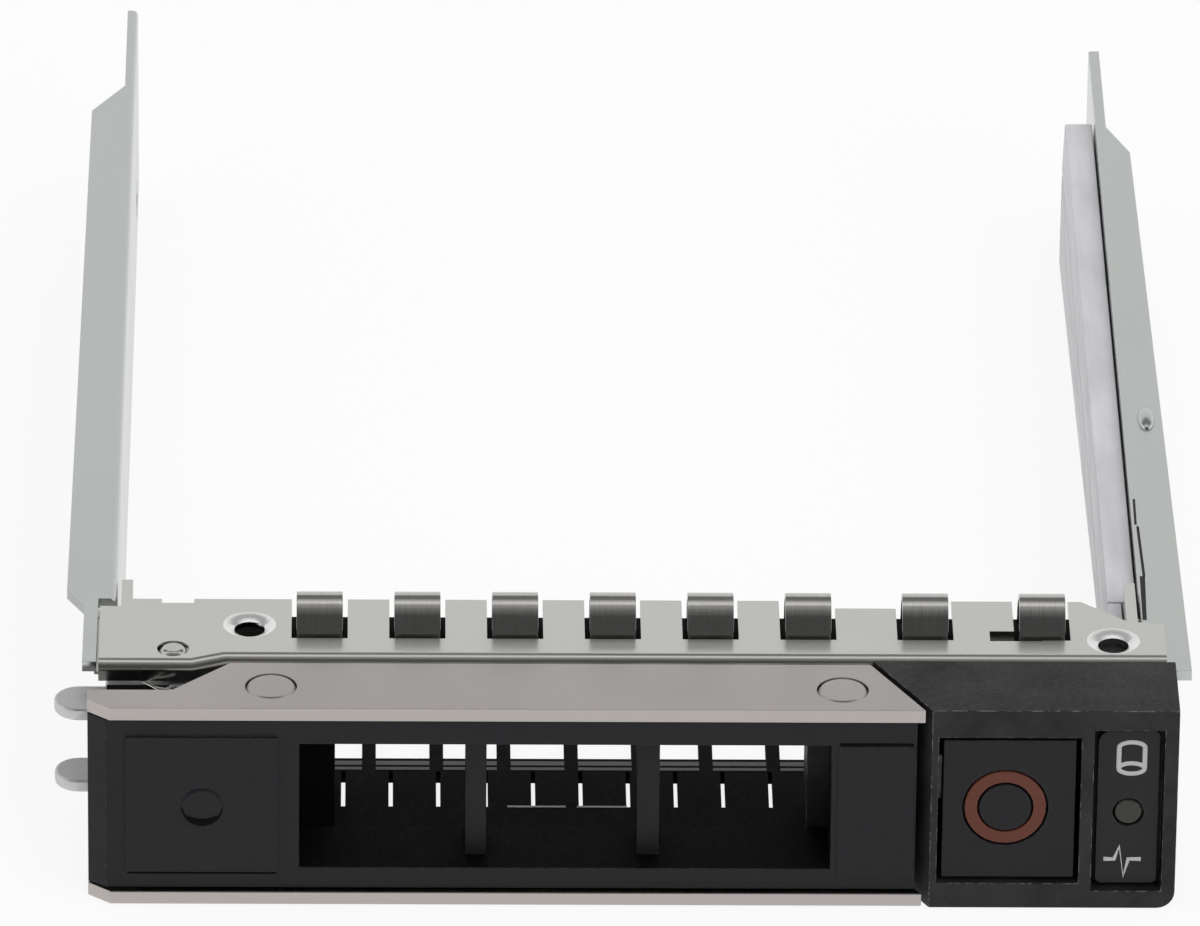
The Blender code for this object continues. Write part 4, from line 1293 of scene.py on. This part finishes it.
@dataclass
class FrontEnd:
    """Housing at the right, with the release button, its catch and the indicator panel."""

    housing_edge: float = 0.22
    button_edge: float = 0.3
    ring_edge: float = 0.1
    panel_edge: float = 0.12
    panel_corner: float = 0.45
    panel_left: float = 33.6
    panel_right: float = 38.0
    panel_low: float = 1.7
    panel_high: float = 14.1
    panel_front: float = 0.6
    line: float = 0.34
    print_height: float = 0.1
    drum_middle: Pair = (36.0, 11.9)
    drum_half: Pair = (0.92, 0.85)
    drum_bow: float = 0.42
    pulse: Outline = ((34.2, 3.68), (34.95, 3.68), (35.3, 4.72), (35.62, 2.3), (35.95, 3.68), (36.85, 3.68))

    def build(self, shop: Workshop) -> None:
        """Make the housing, button, catch and panel with its symbols.

        Args:
            shop: workshop that makes the pieces.
        """
        shop.dress_solid("front_housing", GRAINED, self.housing_edge)
        shop.dress_solid("release_button", BLACK, self.button_edge, segments=3)
        shop.dress_solid("button_ring", TERRACOTTA, self.ring_edge)
        shop.dress_solid("lever_catch", ZINC, self.ring_edge)
        panel = Shape.of_node("indicator_panel")
        panel.round_corner(self.panel_left, self.panel_low, self.panel_corner)
        panel.round_corner(self.panel_right, self.panel_low, self.panel_corner)
        panel.round_corner(self.panel_right, self.panel_high, self.panel_corner)
        shop.stand_for("indicator_panel", panel.round_sharp(self.panel_edge), PANEL)
        shop.dress_solid("indicator_lens", LENS, self.panel_edge, segments=3)
        shop.place("symbol_drive", self.printed(self.drum_paths()), PRINT_AND_HIGHLIGHT, Body.FRAME)
        shop.place("symbol_pulse", self.printed([self.pulse]), PRINT_AND_HIGHLIGHT, Body.FRAME)

    def drum_paths(self) -> list[Outline]:
        """Draw the drive symbol, a drum with its lower rim drawn in full.

        Returns:
            The lines of the symbol, each a list of places along X and Z.
        """
        x, z = self.drum_middle
        half_x, half_z = self.drum_half
        steps = 12
        upper = []
        lower = []
        rim = []
        for step in range(steps + 1):
            angle = math.pi * step / steps
            across = half_x * math.cos(angle)
            bow = self.drum_bow * math.sin(angle)
            upper.append((x + across, z + half_z + bow))
            rim.append((x + across, z - half_z + bow))
            lower.append((x + across, z - half_z - bow))
        sides = [[(side, z + half_z), (side, z - half_z)] for side in (x - half_x, x + half_x)]
        return [upper, rim, lower, *sides]

    def printed(self, paths: Sequence[Outline]) -> Shape:
        """Print lines that stand up a little on the panel.

        Args:
            paths: places along X and Z of each line.

        Returns:
            All lines as one shape.
        """
        flat = self.print_height / self.line
        lines = [[at(x, self.panel_front, z) for x, z in path] for path in paths]
        return Shape.wire(lines, self.line, flat)


@dataclass
class LightPipes:
    """Two clear bars along the right rail, with the skirt below them and the nose before them."""

    edge: float = 0.12
    left: float = 35.025
    right: float = 36.975
    reach: float = 0.12
    skirt: Outline = ((30.0, 6.2), (99.5, 0.6), (99.5, 6.2))
    nose_right: float = 36.05
    nose: Outline = ((13.0, 10.7), (20.3, 10.7), (20.3, 13.7), (13.0, 13.7))

    def build(self, shop: Workshop) -> None:
        """Make the bars with their right side nearer to the rail's wall, the skirt and the nose.

        Args:
            shop: workshop that makes the pieces.
        """
        for node in ("light_pipe_lower", "light_pipe_upper"):
            bar = Shape.of_node(node).draw_out(self.right - self.reach, self.reach)
            shop.stand_for(node, bar.round_sharp(self.edge), CLEAR)
        skirt = Shape.prism(self.skirt, self.left, self.right, Axis.X)
        shop.place("light_pipe_skirt", skirt, CLEAR, Body.FRAME, "clear_plastic")
        nose = Shape.prism(self.nose, self.left, self.nose_right, Axis.X)
        shop.place("light_pipe_nose", nose.round_sharp(self.edge), CLEAR, Body.FRAME, "clear_plastic")


@dataclass(frozen=True)
class Board:
    """Board over the tray: the angles from the front that it lies between, and how bright it is."""

    start: float
    end: float
    level: float


@dataclass
class Studio:
    """Floor, light and camera, with the camera where the photo was taken from.

    The camera's target and distance are in millimetres of the drawing, and the floor, lamps
    and boards are in metres.
    """

    azimuth: float = 0.99
    elevation: float = 27.95
    roll: float = 0.67
    target: Point = (-1.04, 52.24, 8.0)
    distance: float = 1090.0
    focal_pixels: float = 14723.7
    image_width: int = 1200
    sensor: float = 36.0
    clip: Pair = (0.01, 20.0)
    floor_half: float = 4.0
    floor_depth: float = 0.00005
    floor_colour: Colour = (0.9, 0.9, 0.9)
    floor_roughness: float = 0.9
    floor_glow: float = 0.88
    sky_light: float = 0.5
    key_power: float = 4.1
    key_size: Pair = (1.6, 0.36)
    key_place: Point = (0.0, -0.03, 1.04)
    fill_power: float = 4.0
    fill_size: Pair = (0.8, 0.8)
    fill_place: Point = (0.5, -0.8, 0.7)
    boards: tuple[Board, ...] = (
        Board(0.0, 46.0, 0.09), Board(46.0, 56.0, 0.16), Board(56.0, 66.0, 0.24), Board(66.0, 81.0, 0.4),
        Board(96.0, 106.0, 0.55), Board(106.0, 138.0, 0.22), Board(138.0, 180.0, 0.85),
    )
    board_half: float = 1.6
    board_distance: float = 1.3

    def camera(self) -> None:
        """Make the camera at the photo's place, turn and framing."""
        turn, tip, lean = (math.radians(value) for value in (self.azimuth, self.elevation, self.roll))
        forward = Vector((math.sin(turn) * math.cos(tip), math.cos(turn) * math.cos(tip), -math.sin(tip)))
        right = Vector((math.cos(turn), -math.sin(turn), 0))
        up = right.cross(forward)
        leaning_right = right * math.cos(lean) + up * math.sin(lean)
        leaning_up = up * math.cos(lean) - right * math.sin(lean)
        view = Matrix((leaning_right, leaning_up, -forward)).transposed().to_4x4()
        view.translation = at(*self.target) - forward * self.distance * MM
        data = bpy.data.cameras.new("camera")
        data.sensor_fit = "HORIZONTAL"
        data.sensor_width = self.sensor
        data.lens = self.focal_pixels / self.image_width * self.sensor
        data.clip_start, data.clip_end = self.clip
        camera = bpy.data.objects.new("camera", data)
        camera.matrix_world = view
        bpy.context.scene.collection.objects.link(camera)
        bpy.context.scene.camera = camera

    def sheet(self, name: str, corners: Sequence[Point], material: bpy.types.Material) -> bpy.types.Object:
        """Make a flat sheet of the stage.

        Args:
            name: name of the sheet.
            corners: its corners in metres.
            material: its material.

        Returns:
            The sheet.
        """
        shape = bmesh.new()
        shape.faces.new([shape.verts.new(corner) for corner in corners])
        mesh = bpy.data.meshes.new(name)
        shape.to_mesh(mesh)
        shape.free()
        mesh.materials.append(material)
        made = bpy.data.objects.new(name, mesh)
        bpy.context.scene.collection.objects.link(made)
        return made

    def shown_directly(self, tree: bpy.types.NodeTree) -> Socket:
        """Tell apart the rays that show a surface from those that only light the tray.

        Args:
            tree: node tree of a material or of the room.

        Returns:
            An output that is 1 for what is seen straight, mirrored or through clear plastic.
        """
        path = tree.nodes.new("ShaderNodeLightPath")
        found = path.outputs["Is Camera Ray"]
        for name in ("Is Glossy Ray", "Is Transmission Ray"):
            highest = tree.nodes.new("ShaderNodeMath")
            highest.operation = "MAXIMUM"
            tree.links.new(found, highest.inputs[0])
            tree.links.new(path.outputs[name], highest.inputs[1])
            found = highest.outputs["Value"]
        return found

    def floor_material(self) -> bpy.types.Material:
        """Build the floor's pale finish, which shows white and keeps a soft shadow.

        Returns:
            The material.
        """
        made = bpy.data.materials.new("Pale floor")
        made.use_nodes = True
        tree = made.node_tree
        shader = tree.nodes["Principled BSDF"]
        shader.inputs["Base Color"].default_value = (*self.floor_colour, 1)
        shader.inputs["Roughness"].default_value = self.floor_roughness
        shader.inputs["Specular IOR Level"].default_value = 0.0
        glow = tree.nodes.new("ShaderNodeEmission")
        share = tree.nodes.new("ShaderNodeMath")
        share.operation = "MULTIPLY"
        share.inputs[1].default_value = self.floor_glow
        tree.links.new(self.shown_directly(tree), share.inputs[0])
        mixed = tree.nodes.new("ShaderNodeMixShader")
        tree.links.new(share.outputs["Value"], mixed.inputs["Fac"])
        tree.links.new(shader.outputs["BSDF"], mixed.inputs[1])
        tree.links.new(glow.outputs["Emission"], mixed.inputs[2])
        tree.links.new(mixed.outputs["Shader"], tree.nodes["Material Output"].inputs["Surface"])
        return made

    def world(self) -> None:
        """Make the even light of the room, which shows as white."""
        made = bpy.data.worlds.new("room")
        made.use_nodes = True
        tree = made.node_tree
        light = tree.nodes["Background"]
        light.inputs["Strength"].default_value = self.sky_light
        light.inputs["Color"].default_value = (1, 1, 1, 1)
        white = tree.nodes.new("ShaderNodeBackground")
        white.inputs["Color"].default_value = (1, 1, 1, 1)
        mixed = tree.nodes.new("ShaderNodeMixShader")
        tree.links.new(self.shown_directly(tree), mixed.inputs["Fac"])
        tree.links.new(light.outputs["Background"], mixed.inputs[1])
        tree.links.new(white.outputs["Background"], mixed.inputs[2])
        tree.links.new(mixed.outputs["Shader"], tree.nodes["World Output"].inputs["Surface"])
        bpy.context.scene.world = made

    def lamp(self, name: str, place: Point, size: Pair, power: float) -> None:
        """Make a soft lamp that faces the middle of the tray and isn't mirrored in it.

        Args:
            name: name of the lamp.
            place: its place in metres.
            size: its width and depth in metres.
            power: its power in watts.
        """
        data = bpy.data.lights.new(name, "AREA")
        data.shape = "RECTANGLE"
        data.size, data.size_y = size
        data.energy = power
        made = bpy.data.objects.new(name, data)
        made.location = place
        made.rotation_mode = "QUATERNION"
        made.rotation_quaternion = Vector(place).to_track_quat("Z", "Y")
        made.visible_glossy = False
        bpy.context.scene.collection.objects.link(made)

    def board_material(self, name: str, level: float) -> bpy.types.Material:
        """Build a plain grey glow for a board.

        Args:
            name: name of the material.
            level: how bright it is, where 1 is white.

        Returns:
            The material.
        """
        made = bpy.data.materials.new(name)
        made.use_nodes = True
        tree = made.node_tree
        glow = tree.nodes.new("ShaderNodeEmission")
        glow.inputs["Color"].default_value = (level, level, level, 1)
        tree.links.new(glow.outputs["Emission"], tree.nodes["Material Output"].inputs["Surface"])
        return made

    def mirrored_boards(self) -> None:
        """Make the boards, from the front over the top, that show only where they are mirrored."""
        for number, board in enumerate(self.boards):
            corners = []
            for side, angle in ((-1, board.start), (1, board.start), (1, board.end), (-1, board.end)):
                turn = math.radians(angle)
                y = -math.cos(turn) * self.board_distance
                corners.append((side * self.board_half, y, math.sin(turn) * self.board_distance))
            material = self.board_material(f"Board {number}", board.level)
            made = self.sheet(f"board_{number}", corners, material)
            made.visible_camera = False
            made.visible_diffuse = False
            made.visible_shadow = False
            made.visible_transmission = False

    def build(self) -> None:
        """Make the stage, the light and the camera."""
        half = self.floor_half
        low = -self.floor_depth
        corners = ((-half, -half, low), (half, -half, low), (half, half, low), (-half, half, low))
        self.sheet("floor", corners, self.floor_material())
        self.world()
        self.lamp("key_lamp", self.key_place, self.key_size, self.key_power)
        self.lamp("fill_lamp", self.fill_place, self.fill_size, self.fill_power)
        self.mirrored_boards()
        self.camera()
        bpy.context.scene.view_settings.view_transform = "Standard"
        log.info("stage, light and camera are in place")


def main() -> None:
    """Build and dress every sub-assembly in order."""
    logging.basicConfig(level=logging.INFO, format="%(name)s: %(message)s")
    shop = Workshop()
    for assembly in (Rails(), Crossbar(), Fingers(), Springs(), Lever(), FrontEnd(), LightPipes()):
        assembly.build(shop)
    Studio().build()


if __name__ == "__main__":
    main()
